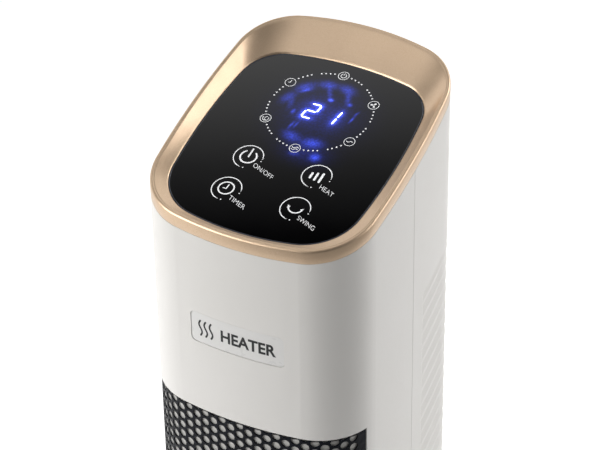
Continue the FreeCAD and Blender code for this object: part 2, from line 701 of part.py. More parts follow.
def make_blower():
    """Cross-flow wheel on its shaft and motor, in a scroll between two end plates."""
    mouth = Vector(-value("throat_half_width"), -value("throat_front"), 0)
    radius = value("scroll_radius")
    end = leaving_angle(radius, mouth, -1) % 360
    node(solid("scroll", duct_sheet(radius, value("scroll_start"), end, mouth)),
         "scroll_housing")
    mouth = Vector(value("throat_half_width"), -value("throat_front"), 0)
    radius = value("tongue_radius")
    node(solid("tongue", duct_sheet(radius, value("tongue_end"), -50, mouth)), "scroll_tongue")

    centre = ("0", "blower_y")
    for label, low, hole in (("blower_plate_bottom", "plate_low", "shaft_pass"),
                             ("blower_plate_top", "plate_high", "bush_outer")):
        plate = body(label)
        drawing = sketch(plate, label + "_sketch", low)
        rectangle(drawing, ("-plate_half_width", "plate_half_width"),
                  ("-plate_front", "plate_rear"))
        circle(drawing, hole, *centre)
        pad(plate, drawing, "plate_thick")
    node(tube("bush", "bush_outer - run_fit", "shaft_radius + run_fit", "plate_high - 2",
              "plate_high - 2 + bush_height", centre), "top_bush")

    wheel = body("blower_wheel")
    drawing = sketch(wheel, "wheel_end_low", "wheel_low")
    circle(drawing, "wheel_radius", *centre)
    circle(drawing, "shaft_radius", *centre)
    pad(wheel, drawing, "disc_thick")
    turn_blades(wheel)
    for name, level in (("wheel_middle", "(wheel_low + wheel_high - disc_thick) / 2"),
                        ("wheel_end_high", "wheel_high - disc_thick")):
        drawing = sketch(wheel, name, level)
        circle(drawing, "wheel_radius", *centre)
        circle(drawing, "shaft_radius", *centre)
        pad(wheel, drawing, "disc_thick")

    node(rod("blower_spindle", "shaft_radius", "shaft_low", "shaft_high", centre),
         "blower_shaft")
    inner = ("motor_low + motor_wall", "motor_high - motor_wall")
    node(cut("motor_body", rod("motor_can", "motor_radius", "motor_low", "motor_high", centre),
             rod("motor_hollow", "rotor_radius + rotor_gap", *inner, centre),
             rod("motor_nose", "shaft_radius + run_fit", "motor_high - motor_wall - 1",
                 "motor_high + 1", centre)), "motor_stator")
    node(tube("rotor", "rotor_radius", "shaft_radius", "motor_low + motor_wall + rotor_gap * 5",
              "motor_high - motor_wall - rotor_gap * 5", centre), "motor_rotor")
    bracket = tube("bracket_ring", "motor_radius", "shaft_pass", "motor_high",
                   "motor_high + bracket_thick", centre)
    posts = []
    for index in range(3):
        turn = math.radians(90 + index * 120)
        posts.append(rod(f"bracket_post_{index}", "post_radius", "motor_high + bracket_thick",
                         "plate_low", (f"{math.cos(turn):.4f} * post_circle",
                                       f"blower_y + {math.sin(turn):.4f} * post_circle")))
    node(fuse("motor_mount", bracket, *posts), "motor_bracket")


def turn_blades(wheel):
    """One slanted blade at the rim, repeated round the wheel."""
    drawing = sketch(wheel, "blade", "wheel_low")
    turn = math.radians(value("blade_turn"))
    outer = value("wheel_radius") - value("blade_thick")
    centre_y = value("blower_y")
    across = Vector(-math.sin(turn), math.cos(turn), 0) * value("blade_thick")
    along = Vector(-math.cos(turn), -math.sin(turn), 0) * value("blade_depth")
    start = Vector(outer, centre_y, 0)
    points = [start, start + across, start + across + along, start + along]
    for index in range(4):
        drawing.addGeometry(Part.LineSegment(points[index], points[(index + 1) % 4]), False)
    for index in range(4):
        drawing.addConstraint(Sketcher.Constraint("Coincident", index, 2, (index + 1) % 4, 1))
    blade = pad(wheel, drawing, "wheel_high - wheel_low")
    doc.recompute()
    hub = wheel.newObject("PartDesign::Line", "wheel_axis")
    hub.Placement = Placement(Vector(0, centre_y, 0), Rotation())
    ring = wheel.newObject("PartDesign::PolarPattern", "blade_ring")
    ring.Originals = [blade]
    ring.Axis = (hub, [""])
    ring.Angle = 360
    bind(ring, Occurrences="blade_count")
    wheel.Tip = ring


# ------------------------------------------------------------ boards and screen

def make_electronics():
    """Intake filter, power board with its components, and the bracket it stands on."""
    filter_skin = skin("screen_skin", "screen_back", "screen_front", "screen_low",
                       "screen_high")
    node(common("screen", filter_skin, box("screen_part", ("-far", "far"),
                                           ("screen_start", "far"), ("0", "rim_level"))),
         "intake_screen")

    board = box("board_sheet", ("-board_half_width", "board_half_width"),
                ("board_y", "board_y + board_thick"), ("board_low", "board_high"))
    node(board, "power_board")
    back = "board_y + board_thick + bracket_gap"
    plate = box("bracket_plate", ("-board_half_width", "board_half_width"),
                (back, f"{back} + bracket_thick"), ("plate_high + plate_thick", "board_high"))
    foot = box("bracket_foot_plate", ("-board_half_width", "board_half_width"),
               (back, f"{back} + bracket_foot"),
               ("plate_high + plate_thick", "plate_high + plate_thick + bracket_thick"))
    spacers = [rod("board_spacer", "post_radius", "board_y + board_thick", back,
                   (f"{side} * board_half_width * 0.85", level), ALONG_Y)
               for side in (-1, 1) for level in ("board_low + 8", "board_high - 8")]
    node(fuse("bracket", plate, foot, *spacers), "board_bracket")

    parts = []
    for name, left, width, lift, height, depth in BOARD_PARTS:
        parts.append(box(name, (f"{left}", f"{left + width}"),
                         (f"board_y - {depth}", "board_y"),
                         (f"board_low + {lift}", f"board_low + {lift + height}")))
    node(group("components", *parts), "board_components")


def make_grip_cup():
    """Hand grip: an open cup behind the opening in the rear shell."""
    outer = grip_block("cup_outside", "grip_front - grip_wall", "far", "grip_wall")
    inner = grip_block("cup_inside", "grip_front", "far * 2", "0")
    cup = cut("cup_walls", outer, inner)
    inside = prism("cup_limit", "tower", "wall", "tower_bottom", "rim_level + far")
    node(common("cup", cup, inside), "grip_cup")


def make_switch():
    """Mains rocker: a framed housing in the rear shell and the rocker on its pin."""
    def about(reach):
        return f"switch_z - {reach}", f"switch_z + {reach}"

    barrel = box("switch_barrel", ("-switch_half_width", "switch_half_width"),
                 ("switch_front", "bezel_front + 0.5"), about("switch_half_height"))
    bezel = box("switch_bezel", ("-bezel_half_width", "bezel_half_width"),
                ("bezel_front + 0.6", "bezel_rear"), about("bezel_half_height"))
    neck = box("switch_neck", ("-switch_half_width", "switch_half_width"),
               ("bezel_front", "bezel_rear"), about("switch_half_height"))
    cavity = box("switch_hollow", ("-cavity_half_width", "cavity_half_width"),
                 ("switch_cavity", "bezel_rear + 1"), about("cavity_half_height"))
    holes = rod("switch_pin_hole", "rocker_pin + run_fit", "-rocker_pin_half - fit",
                "rocker_pin_half + fit", ("rocker_y", "switch_z"), ALONG_X)
    node(cut("switch", fuse("switch_solid", barrel, neck, bezel), cavity, holes),
         "switch_housing")

    drawing = doc.addObject("Sketcher::SketchObject", "rocker_profile")
    polygon(drawing, [("-rocker_half_height", "rocker_edge"), ("0", "rocker_valley"),
                      ("rocker_half_height", "rocker_edge"),
                      ("rocker_half_height - 2", "-rocker_root"),
                      ("2 - rocker_half_height", "-rocker_root")])
    key = doc.addObject("Part::Extrusion", "rocker_key")
    key.Base = drawing
    key.DirMode = "Normal"
    key.Solid = True
    bind(key, LengthFwd="rocker_half_width * 2")
    pivot = doc.addObject("Part::Cylinder", "rocker_pivot")
    bind(pivot, Radius="rocker_pin", Height="rocker_pin_half * 2")
    pivot.setExpression("Placement.Base.z", rule("rocker_half_width - rocker_pin_half"))
    rocker = fuse("rocker", key, pivot)
    # profile x runs up the tower, profile y points out of the back, the length runs across
    stand = Rotation(Vector(0, 0, 1), Vector(0, 1, 0), Vector(-1, 0, 0), "XYZ")
    tilt = Rotation(Vector(1, 0, 0), value("rocker_tilt"))
    spot = Vector(0, value("rocker_y"), value("switch_z"))
    centred = Placement(Vector(0, 0, -value("rocker_half_width")), Rotation())
    rocker.Placement = Placement(spot, tilt.multiply(stand)).multiply(centred)
    node(rocker, "main_rocker")


# ------------------------------------------------------------------ swing drive

def gear_blank(teeth, low, high, bore, phase):
    """An involute spur gear with its bore, turned by a phase in degrees."""
    wire = fcgear.FCWireBuilder()
    involute.CreateExternalGear(wire, value("gear_module"), int(value(teeth)), 20, True)
    edge = Part.Wire([item.toShape() for item in wire.wire])
    blank = Part.Face(edge).extrude(Vector(0, 0, value(f"{high} - {low}")))
    bored = blank.cut(Part.makeCylinder(value(bore), value(high)))
    bored.rotate(Vector(), Z_AXIS, phase)
    return bored


def make_swing_drive():
    """Hub under the tower with its gear, and the motor and pinion that turn it."""
    floor = body("tower_floor")
    drawing = sketch(floor, "floor_outline", "tower_bottom")
    outline(drawing, "tower", "wall + floor_gap")
    circle(drawing, "hub_radius + run_fit")
    pad(floor, drawing, "floor_thick")
    for name, radius, level, depth in (
            ("floor_heads", "screw_head + fit * 2", "tower_bottom + screw_head_height + fit",
             "screw_head_height + 1"),
            ("floor_holes", "screw_hole", "tower_bottom + floor_thick", "floor_thick + 1")):
        drawing = sketch(floor, name, level)
        for side in (-1, 1):
            circle(drawing, radius, f"{side} * boss_across", "-boss_front")
            circle(drawing, radius, f"{side} * boss_across", "boss_rear")
        pocket(floor, drawing, depth)

    screws = []
    for side in (-1, 1):
        for y in ("-boss_front", "boss_rear"):
            spot = (f"{side} * boss_across", y)
            shank = rod("floor_screw_shank", "screw_radius", "tower_bottom + fit",
                        "tower_bottom + screw_length", spot)
            head = rod("floor_screw_head", "screw_head", "tower_bottom + fit",
                       "tower_bottom + screw_head_height", spot)
            screws.append(fuse("floor_screw", shank, head))
    node(group("tower_screws", *screws), "floor_screws")

    hub_top = "tower_bottom + floor_thick"
    sleeve = rod("hub_sleeve", "hub_radius", "gear_low", f"{hub_top} + hub_flange_thick")
    flange = rod("hub_collar", "hub_flange", hub_top, f"{hub_top} + hub_flange_thick")
    node(cut("hub", fuse("hub_solid", sleeve, flange),
             rod("hub_passage", "hub_bore", "0", "tower_bottom * 2")), "swing_hub")
    wheel = gear_blank("gear_teeth", "gear_low", "gear_high", "hub_radius + run_fit", 0)
    for index in range(6):
        turn = math.radians(30 + index * 60)
        centre = Vector(math.cos(turn), math.sin(turn), 0) * value("gear_window_circle")
        wheel = wheel.cut(Part.makeCylinder(value("gear_window"), value("gear_high"), centre))
    wheel = solid("swing_wheel", wheel)
    place(wheel, "0", "0", "gear_low")
    node(wheel, "swing_gear")
    node(tube("retainer", "retainer_outer", "retainer_bore", "gear_low - retainer_thick",
              "gear_low"), "hub_retainer")
    node(tube("washer", "washer_outer", "washer_inner", "base_top", "tower_bottom"),
         "thrust_washer")

    across = "-(gear_teeth + pinion_teeth) * gear_module / 2 - mesh_play"
    pinion = gear_blank("pinion_teeth", "gear_low", "gear_high", "drive_shaft + run_fit",
                        180 / value("pinion_teeth"))
    pinion = solid("pinion", pinion)
    place(pinion, across, "0", "gear_low")
    node(pinion, "swing_pinion")
    node(rod("drive_rod", "drive_shaft", "drive_low", "gear_high - 0.5", (across, "0")),
         "pinion_shaft")
    can = rod("swing_can_body", "swing_can", "can_low", "can_high", (across, "0"))
    collar = rod("swing_collar", "can_collar", "can_high", "gear_low - 1", (across, "0"))
    ears = box("swing_ears", (f"{across} - ear_half_width", f"{across} + ear_half_width"),
               ("-ear_half_length", "ear_half_length"), ("can_low", "can_low + ear_thick"))
    holes = [rod("ear_bore", "screw_hole", "can_low - 1", "can_low + ear_thick + 1",
                 (across, f"{side} * ear_hole")) for side in (-1, 1)]
    node(cut("swing_motor_body", fuse("swing_motor_solid", can, collar, ears),
             rod("drive_bore", "drive_shaft + run_fit", "drive_low - 1", "gear_high",
                 (across, "0")), *holes), "swing_motor")


# ------------------------------------------------------------------------- base

def ring_spots(radius, count, first=0.0):
    """Places round the axis, as pairs of rules."""
    for index in range(int(value(count))):
        turn = math.radians(first + index * 360 / value(count))
        yield f"{math.cos(turn):.5f} * {radius}", f"{math.sin(turn):.5f} * {radius}"


def make_base():
    """Round base: domed cover, bottom plate, ballast, feet, gland and screws."""
    cover = body("base_cover")
    drawing = sketch(cover, "cover_disc", "cover_low")
    circle(drawing, "base_radius")
    disc = pad(cover, drawing, "base_top - cover_low")
    top = value("base_top")
    fillet(cover, disc, "base_round", lambda edge: edge.CenterOfMass.z > top - 0.01)
    drawing = sketch(cover, "cover_hollow", "base_top - base_wall")
    circle(drawing, "base_radius - base_round")
    pocket(cover, drawing, "base_top")
    drawing = sketch(cover, "cover_rim", "base_top - base_round")
    circle(drawing, "base_radius - base_wall")
    pocket(cover, drawing, "base_top")
    drawing = sketch(cover, "cover_posts", "plate_top")
    for x, y in ring_spots("post_circle_base", "post_count", 30):
        circle(drawing, "post_base_radius", x, y)
    pad(cover, drawing, "base_top - base_wall - plate_top + 0.5")
    drawing = sketch(cover, "cover_post_holes", "plate_top + screw_length")
    for x, y in ring_spots("post_circle_base", "post_count", 30):
        circle(drawing, "screw_hole", x, y)
    pocket(cover, drawing, "screw_length + 1")
    drawing = sketch(cover, "cover_bore", "base_top + 1")
    circle(drawing, "hub_radius + run_fit")
    pocket(cover, drawing, "base_wall + 5")
    cover.Label = "base_cover_solid"
    nodes.remove(cover)
    node(cut("cover_with_inlet", cover,
             rod("inlet_hole", "gland_radius + run_fit", "base_radius - 8", "base_radius + 4",
                 ("0", "gland_z"), ALONG_Y)), "base_cover")

    plate = body("base_plate")
    drawing = sketch(plate, "plate_disc", "plate_bottom")
    circle(drawing, "base_radius - base_wall - plate_gap")
    circle(drawing, "plunger_radius + tip_play", "tip_x", "0")
    for x, y in ring_spots("post_circle_base", "post_count", 30):
        circle(drawing, "screw_hole", x, y)
    pad(plate, drawing, "plate_top - plate_bottom")
    drawing = sketch(plate, "plate_counterbores", "plate_bottom + screw_head_height")
    for x, y in ring_spots("post_circle_base", "post_count", 30):
        circle(drawing, "screw_head + fit", x, y)
    pocket(plate, drawing, "plate_top")

    feet = [rod("foot", "foot_radius", "0", "plate_bottom", spot)
            for spot in ring_spots("foot_circle", "foot_count")]
    node(group("feet", *feet), "foot_pads")
    node(tube("ballast", "ballast_outer", "ballast_inner", "plate_top",
              "plate_top + ballast_thick"), "ballast_ring")

    screws = []
    for spot in ring_spots("post_circle_base", "post_count", 30):
        shank = rod("base_screw_shank", "screw_radius", "plate_bottom",
                    "plate_bottom + screw_length", spot)
        head = rod("base_screw_head", "screw_head", "plate_bottom + fit",
                   "plate_bottom + screw_head_height", spot)
        screws.append(fuse("base_screw", shank, head))
    node(group("base_screw_set", *screws), "base_screws")

    barrel = rod("gland_barrel", "gland_radius", "gland_in", "gland_out", ("0", "gland_z"),
                 ALONG_Y)
    collar = rod("gland_collar", "gland_flange", "gland_in", "gland_in + gland_flange_thick",
                 ("0", "gland_z"), ALONG_Y)
    node(cut("gland", fuse("gland_solid", barrel, collar),
             rod("gland_passage", "gland_bore", "gland_in - 1", "gland_out + 1",
                 ("0", "gland_z"), ALONG_Y)), "cord_gland")


def make_tip_switch():
    """Plunger that the floor holds in, its spring, and the switch above it."""
    centre = ("tip_x", "0")
    case = box("tip_case", ("tip_x - tip_half", "tip_x + tip_half"),
               ("-tip_half", "tip_half"), ("plate_top", "tip_top"))
    node(cut("tip_body", case, rod("tip_hollow", "plunger_shoulder + tip_play",
                                   "plate_top - 1", "tip_roof", centre)), "tip_switch")
    node(fuse("tip_pin", rod("pin_foot", "plunger_radius", "0", "shoulder_high", centre),
              rod("pin_shoulder", "plunger_shoulder", "shoulder_low", "shoulder_high", centre),
              rod("pin_neck", "plunger_neck", "shoulder_high", "plunger_top", centre)),
         "tip_plunger")
    node(group("tip_coils", *spring_coils(centre)), "tip_spring")


def spring_coils(centre):
    """The spring's coils, one closed ring each, between the shoulder and the roof."""
    coils = []
    for index in range(int(value("spring_turns"))):
        coil = doc.addObject("Part::Torus", "spring_coil")
        bind(coil, Radius1="spring_radius", Radius2="spring_wire")
        share = f"({index} + 0.5) / spring_turns"
        place(coil, *centre, f"shoulder_high + (tip_roof - shoulder_high) * {share}")
        coils.append(coil)
    return coils


# ------------------------------------------------------------- build and export

make_shells()
make_trim()
make_panel()
make_front_pieces()
make_heater()
make_blower()
make_electronics()
make_grip_cup()
make_switch()
make_swing_drive()
make_base()
make_tip_switch()
doc.recompute()

for item in doc.Objects:
    if "Invalid" in item.State or "Error" in item.State:
        raise RuntimeError(f"{item.Label} did not build: {item.State}")

os.makedirs("parts", exist_ok=True)
for item in nodes:
    shape = item.Shape
    if shape.isNull() or not shape.isValid() or not shape.Solids:
        raise RuntimeError(f"{item.Label} is not a valid solid")
    shape.exportStep(f"parts/{item.Label}.step")
    print(f"{item.Label}: {len(shape.Solids)} solids, {shape.Volume / 1000:.1f} cm3")
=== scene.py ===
"""Looks of the ceramic tower heater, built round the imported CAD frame. Metres, +Z up, front -Y."""
import json
import math

import bmesh
import bpy
from mathutils import Matrix, Vector


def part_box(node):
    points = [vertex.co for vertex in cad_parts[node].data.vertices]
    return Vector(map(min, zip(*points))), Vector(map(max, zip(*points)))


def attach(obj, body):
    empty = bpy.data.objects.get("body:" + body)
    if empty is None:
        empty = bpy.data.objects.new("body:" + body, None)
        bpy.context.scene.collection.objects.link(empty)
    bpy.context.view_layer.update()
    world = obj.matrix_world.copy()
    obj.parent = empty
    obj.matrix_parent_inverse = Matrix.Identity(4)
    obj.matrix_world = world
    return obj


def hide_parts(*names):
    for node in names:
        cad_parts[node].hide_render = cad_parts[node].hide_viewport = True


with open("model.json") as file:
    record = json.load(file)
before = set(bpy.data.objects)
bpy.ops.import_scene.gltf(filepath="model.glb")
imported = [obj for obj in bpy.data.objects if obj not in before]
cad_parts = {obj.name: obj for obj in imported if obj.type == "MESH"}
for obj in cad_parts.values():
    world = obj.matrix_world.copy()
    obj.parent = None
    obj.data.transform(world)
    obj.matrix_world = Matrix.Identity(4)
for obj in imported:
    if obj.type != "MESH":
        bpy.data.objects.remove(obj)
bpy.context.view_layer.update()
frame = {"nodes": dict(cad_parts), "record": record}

MM = 0.001
# outlines of the tower and of its glass in millimetres: reaches from the swing axis, the place
# across the depth where each is widest, and the radii of its arcs
TOWER = dict(half_width=90, front=106, rear=106, widest=-12.5, front_bow=274.7, side_bow=705.8,
             rear_bow=221.9, front_corner=47.4, rear_corner=45.5)
GLASS = dict(half_width=77.7, front=98.2, rear=77.2, widest=-12.5, front_bow=211.5,
             side_bow=446, rear_bow=241.8, front_corner=42.1, rear_corner=32.7)
RIM_SLOPE = math.tan(math.radians(15))
GLASS_TILT = math.radians(12.7)
GLASS_SLOPE = math.tan(GLASS_TILT)
RIM_BAND = 10.8

glass_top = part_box("touch_glass")[1]
rim_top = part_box("top_trim_ring")[1]
GLASS_LEVEL = glass_top.z - GLASS_SLOPE * glass_top.y
RIM_LEVEL = rim_top.z - RIM_SLOPE * rim_top.y


# ------------------------------------------------------------ tower's section

def meeting(centre_a, radius_a, centre_b, radius_b, towards):
    """The point at two distances from two centres, furthest towards a direction."""
    line = centre_b - centre_a
    along = (line.length ** 2 + radius_a ** 2 - radius_b ** 2) / (2 * line.length)
    aside = math.sqrt(radius_a ** 2 - along ** 2)
    unit = line.normalized()
    normal = Vector((-unit.y, unit.x))
    choices = [centre_a + unit * along + normal * aside * side for side in (1, -1)]
    return max(choices, key=lambda point: point.dot(towards))


def arcs_of(size, inset=0.0):
    """The eight tangent arcs of an outline: (centre, radius, start, end), anticlockwise."""
    near, back = size["front_corner"], size["rear_corner"]
    front = Vector((0, size["front_bow"] - size["front"]))
    rear = Vector((0, size["rear"] - size["rear_bow"]))
    side = Vector((size["half_width"] - size["side_bow"], size["widest"]))
    near_corner = meeting(front, size["front_bow"] - near, side, size["side_bow"] - near,
                          Vector((1, -1)))
    back_corner = meeting(rear, size["rear_bow"] - back, side, size["side_bow"] - back,
                          Vector((1, 1)))

    def bearing(centre, point):
        return math.atan2(point.y - centre.y, point.x - centre.x)

    def mirrored(centre):
        return Vector((-centre.x, centre.y))

    turns = (bearing(front, near_corner), bearing(side, near_corner),
             bearing(side, back_corner), bearing(rear, back_corner))
    arcs = (
        (front, size["front_bow"], -math.pi - turns[0], turns[0]),
        (near_corner, near, turns[0], turns[1]),
        (side, size["side_bow"], turns[1], turns[2]),
        (back_corner, back, turns[2], turns[3]),
        (rear, size["rear_bow"], turns[3], math.pi - turns[3]),
        (mirrored(back_corner), back, math.pi - turns[3], math.pi - turns[2]),
        (mirrored(side), size["side_bow"], math.pi - turns[2], math.pi - turns[1]),
        (mirrored(near_corner), near, math.pi - turns[1], math.pi - turns[0]),
    )
    return [(centre * MM, (radius - inset) * MM, start, end)
            for centre, radius, start, end in arcs]


# points on the front, a corner, a side, a corner, the rear, and so on round
ARC_STEPS = (56, 26, 44, 26, 56, 26, 44, 26)


def outline_loop(size, inset=0.0):
    """Points round an outline, with the same number on the same arc of any outline."""
    points = []
    for (centre, radius, start, end), steps in zip(arcs_of(size, inset), ARC_STEPS):
        for step in range(steps):
            turn = start + (end - start) * step / steps
            points.append(centre + Vector((math.cos(turn), math.sin(turn))) * radius)
    return points


def front_run(reach, inset):
    """The point on the tower's section at a distance along it from the front's middle."""
    side = 1 if reach >= 0 else -1
    left = abs(reach)
    front, corner, flank = arcs_of(TOWER, inset)[:3]
    spans = ((*front[:2], -math.pi / 2, front[3]), corner, flank)
    for centre, radius, start, end in spans:
        length = radius * (end - start)
        if left <= length or centre == flank[0]:
            turn = start + left / radius
            return Vector(((centre.x + math.cos(turn) * radius) * side,
                           centre.y + math.sin(turn) * radius))
        left -= length


def reach_of(y_limit, inset):
    """How far along the section from the front's middle it meets a plane across the depth."""
    low, high = 0.0, 2 * TOWER["front"] * MM
    for _ in range(40):
        middle = (low + high) / 2
        if front_run(middle, inset).y < y_limit:
            low = middle
        else:
            high = middle
    return low


# ------------------------------------------------------------------ materials

class Surface:
    """A material's node tree, with short calls for the nodes that these surfaces use."""

    def __init__(self, name, **sockets):
        self.material = bpy.data.materials.new(name)
        self.material.use_nodes = True
        self.tree = self.material.node_tree
        self.shader = self.tree.nodes["Principled BSDF"]
        for label, number in sockets.items():
            self.shader.inputs[label.replace("_", " ")].default_value = number
        self.place = self.node("ShaderNodeTexCoord").outputs["Object"]

    def node(self, kind, **settings):
        made = self.tree.nodes.new(kind)
        for label, number in settings.items():
            setattr(made, label, number)
        return made

    def link(self, output, socket):
        self.tree.links.new(output, socket)

    def noise(self, scale, detail=3.0, stretch=None):
        """A noise of so many grains per metre; stretch squeezes it along the axes."""
        made = self.node("ShaderNodeTexNoise")
        made.inputs["Scale"].default_value = scale
        made.inputs["Detail"].default_value = detail
        place = self.place
        if stretch:
            mapping = self.node("ShaderNodeMapping")
            mapping.inputs["Scale"].default_value = stretch
            self.link(place, mapping.inputs["Vector"])
            place = mapping.outputs["Vector"]
        self.link(place, made.inputs["Vector"])
        return made.outputs["Fac"]

    def ramp(self, factor, low, high, low_colour, high_colour):
        """One colour up to a low factor, another from a high one, blended between."""
        made = self.node("ShaderNodeValToRGB")
        stops = made.color_ramp.elements
        stops[0].position, stops[1].position = low, high
        stops[0].color, stops[1].color = (*low_colour, 1), (*high_colour, 1)
        self.link(factor, made.inputs["Fac"])
        return made.outputs["Color"]

    def spread(self, factor, low, high):
        """A factor of 0.3 to 0.7, mapped to a low to high value."""
        made = self.node("ShaderNodeMapRange")
        made.inputs["From Min"].default_value = 0.3
        made.inputs["From Max"].default_value = 0.7
        made.inputs["To Min"].default_value = low
        made.inputs["To Max"].default_value = high
        self.link(factor, made.inputs["Value"])
        return made.outputs["Result"]

    def colour(self, output):
        self.link(output, self.shader.inputs["Base Color"])

    def roughness(self, output):
        self.link(output, self.shader.inputs["Roughness"])

    def bump(self, height, distance, round_edges=0.0):
        """Relief in metres, with edges rounded in shading where asked."""
        made = self.node("ShaderNodeBump")
        made.inputs["Distance"].default_value = distance
        self.link(height, made.inputs["Height"])
        if round_edges:
            bevel = self.node("ShaderNodeBevel", samples=4)
            bevel.inputs["Radius"].default_value = round_edges
            self.link(bevel.outputs["Normal"], made.inputs["Normal"])
        self.link(made.outputs["Normal"], self.shader.inputs["Normal"])


def shade(colour, share):
    """A colour made darker or lighter by a share."""
    return tuple(min(1.0, part * share) for part in colour)


def moulded(name, colour, rough, grain=2500, depth=0.00003, vary=0.06, round_edges=0.0003):
    """Moulded plastic: a fine grain, a slow drift of tone and of gloss."""
    surface = Surface(name)
    surface.colour(surface.ramp(surface.noise(9), 0.35, 0.65, shade(colour, 1 - vary), colour))
    surface.roughness(surface.spread(surface.noise(60), rough * 0.85, rough * 1.15))
    surface.bump(surface.noise(grain, 2), depth, round_edges)
    return surface.material


def metal(name, colour, rough, stretch=(1, 1, 30), depth=0.00002):
    """Sheet or turned metal with fine drawn lines."""
    surface = Surface(name, Metallic=1.0)
    surface.colour(surface.ramp(surface.noise(14), 0.35, 0.65, shade(colour, 0.85), colour))
    surface.roughness(surface.spread(surface.noise(180, 4, stretch), rough * 0.7, rough * 1.35))
    surface.bump(surface.noise(700, 3, stretch), depth, 0.0002)
    return surface.material


def white_shell():
    """Glossy off-white moulding with the faint ripple of a large panel."""
    surface = Surface("white_shell", IOR=1.42)
    surface.shader.inputs["Coat Weight"].default_value = 0.08
    surface.shader.inputs["Coat Roughness"].default_value = 0.2
    tone = surface.ramp(surface.noise(5, 2), 0.35, 0.65, (0.79, 0.77, 0.735), (0.83, 0.81, 0.78))
    surface.colour(tone)
    surface.roughness(surface.spread(surface.noise(90), 0.36, 0.46))
    surface.bump(surface.noise(320, 2), 0.00004, 0.0007)
    return surface.material


def champagne():
    """Metallic lacquer on plastic: fine flakes under a satin coat."""
    surface = Surface("champagne_trim", Metallic=0.9)
    surface.shader.inputs["Coat Weight"].default_value = 0.25
    surface.shader.inputs["Coat Roughness"].default_value = 0.2
    surface.colour(surface.ramp(surface.noise(4200, 1), 0.3, 0.7, (0.60, 0.42, 0.27),
                                (0.78, 0.60, 0.43)))
    surface.roughness(surface.spread(surface.noise(50), 0.35, 0.39))
    surface.bump(surface.noise(3000, 1), 0.000015)
    return surface.material


def add_up(surface, first, second):
    """The sum of two node outputs."""
    made = surface.node("ShaderNodeMath", operation="ADD")
    surface.link(first, made.inputs[0])
    surface.link(second, made.inputs[1])
    return made.outputs["Value"]


def glow_spot(surface, across, up, long, wide, turn, strength):
    """A soft oval of light on the panel: strength * exp(-(distance from its middle)^2)."""
    local = surface.node("ShaderNodeMapping", vector_type="TEXTURE")
    lean = Matrix.Rotation(GLASS_TILT, 3, "X") @ Matrix.Rotation(math.radians(turn), 3, "Z")
    local.inputs["Location"].default_value = on_panel(across, up)
    local.inputs["Rotation"].default_value = lean.to_euler()
    local.inputs["Scale"].default_value = (long * MM, wide * MM, wide * MM)
    surface.link(surface.place, local.inputs["Vector"])
    distance = surface.node("ShaderNodeVectorMath", operation="LENGTH")
    surface.link(local.outputs["Vector"], distance.inputs[0])
    square = surface.node("ShaderNodeMath", operation="POWER")
    square.inputs[1].default_value = 2
    surface.link(distance.outputs["Value"], square.inputs[0])
    fall = surface.node("ShaderNodeMath", operation="POWER")
    fall.inputs[0].default_value = math.exp(-1)
    surface.link(square.outputs["Value"], fall.inputs[1])
    scaled = surface.node("ShaderNodeMath", operation="MULTIPLY")
    scaled.inputs[1].default_value = strength
    surface.link(fall.outputs["Value"], scaled.inputs[0])
    return scaled.outputs["Value"]


# light that leaks round the digits, in millimetres and degrees: across, up, half-length,
# half-width, turn, strength
GLOW_SPOTS = (
    (-28.7, 45.6, 5.5, 3.4, 62, 0.34), (-24, 41, 5.0, 1.8, 100, 0.20),
    (-21, 59.5, 6.4, 3.8, 40, 0.42), (-19.6, 56.7, 3.2, 1.1, 38, 0.9),
    (-6, 67.3, 6.0, 3.2, 8, 0.44), (-1.6, 60.1, 7.5, 1.7, 118, 0.28),
    (2.4, 53.9, 1.7, 1.3, 0, 1.6),
    (9.4, 67.5, 5.6, 3.4, -14, 0.42), (13.5, 60, 7.0, 2.0, 112, 0.30),
    (17.7, 54.1, 1.6, 1.4, 0, 0.7), (-18.6, 34, 2.0, 1.2, 90, 0.75),
    (25.9, 40.9, 3.0, 0.8, 80, 0.6), (26.5, 47, 2.4, 0.8, 70, 0.4),
    (-13.4, 20.8, 3.6, 1.0, 80, 0.5), (-10.2, 22.4, 3.4, 0.9, 80, 0.4),
    (-8, 11, 6.2, 3.8, -16, 0.46), (9.4, 9.6, 6.4, 3.8, 8, 0.66),
    (18, -2.5, 3.4, 3.0, 0, 0.85), (1.5, -3.9, 3.4, 2.2, 10, 0.26),
    (9, 0, 15, 9, 0, 0.10), (1, 38, 27, 25, 0, 0.07),
    (-6, 38.2, 9.5, 10.5, 0, 0.20), (14.5, 38, 6.5, 10, 0, 0.18),
)


def digit_halo():
    """A soft oval of light along each lit bar of the digits, in the form of GLOW_SPOTS."""
    length_share, half_width, strength = 0.62, 2.3, 1.1
    halo = []
    for start, end in digit_bars():
        middle, run = (start + end) / 2, end - start
        halo.append((middle.x, middle.y, run.length * length_share, half_width,
                     math.degrees(math.atan2(run.y, run.x)), strength))
    return tuple(halo)


def panel_glass():
    """Black glass over the lit display, with blue light leaking through round the digits."""
    surface = Surface("panel_glass", IOR=1.52)
    surface.shader.inputs["Base Color"].default_value = (0.0007, 0.0007, 0.001, 1)
    total = None
    for spot in GLOW_SPOTS + digit_halo():
        light = glow_spot(surface, *spot)
        total = light if total is None else add_up(surface, total, light)
    cells = surface.node("ShaderNodeTexVoronoi")
    cells.inputs["Scale"].default_value = 620
    surface.link(surface.place, cells.inputs["Vector"])
    speckle = surface.spread(cells.outputs["Distance"], 1.25, 0.75)
    lit = surface.node("ShaderNodeMath", operation="MULTIPLY")
    surface.link(total, lit.inputs[0])
    surface.link(speckle, lit.inputs[1])
    surface.link(lit.outputs["Value"], surface.shader.inputs["Emission Strength"])
    surface.shader.inputs["Emission Color"].default_value = (0.055, 0.10, 1.0, 1)
    surface.roughness(surface.spread(surface.noise(35, 4), 0.02, 0.05))
    return surface.material


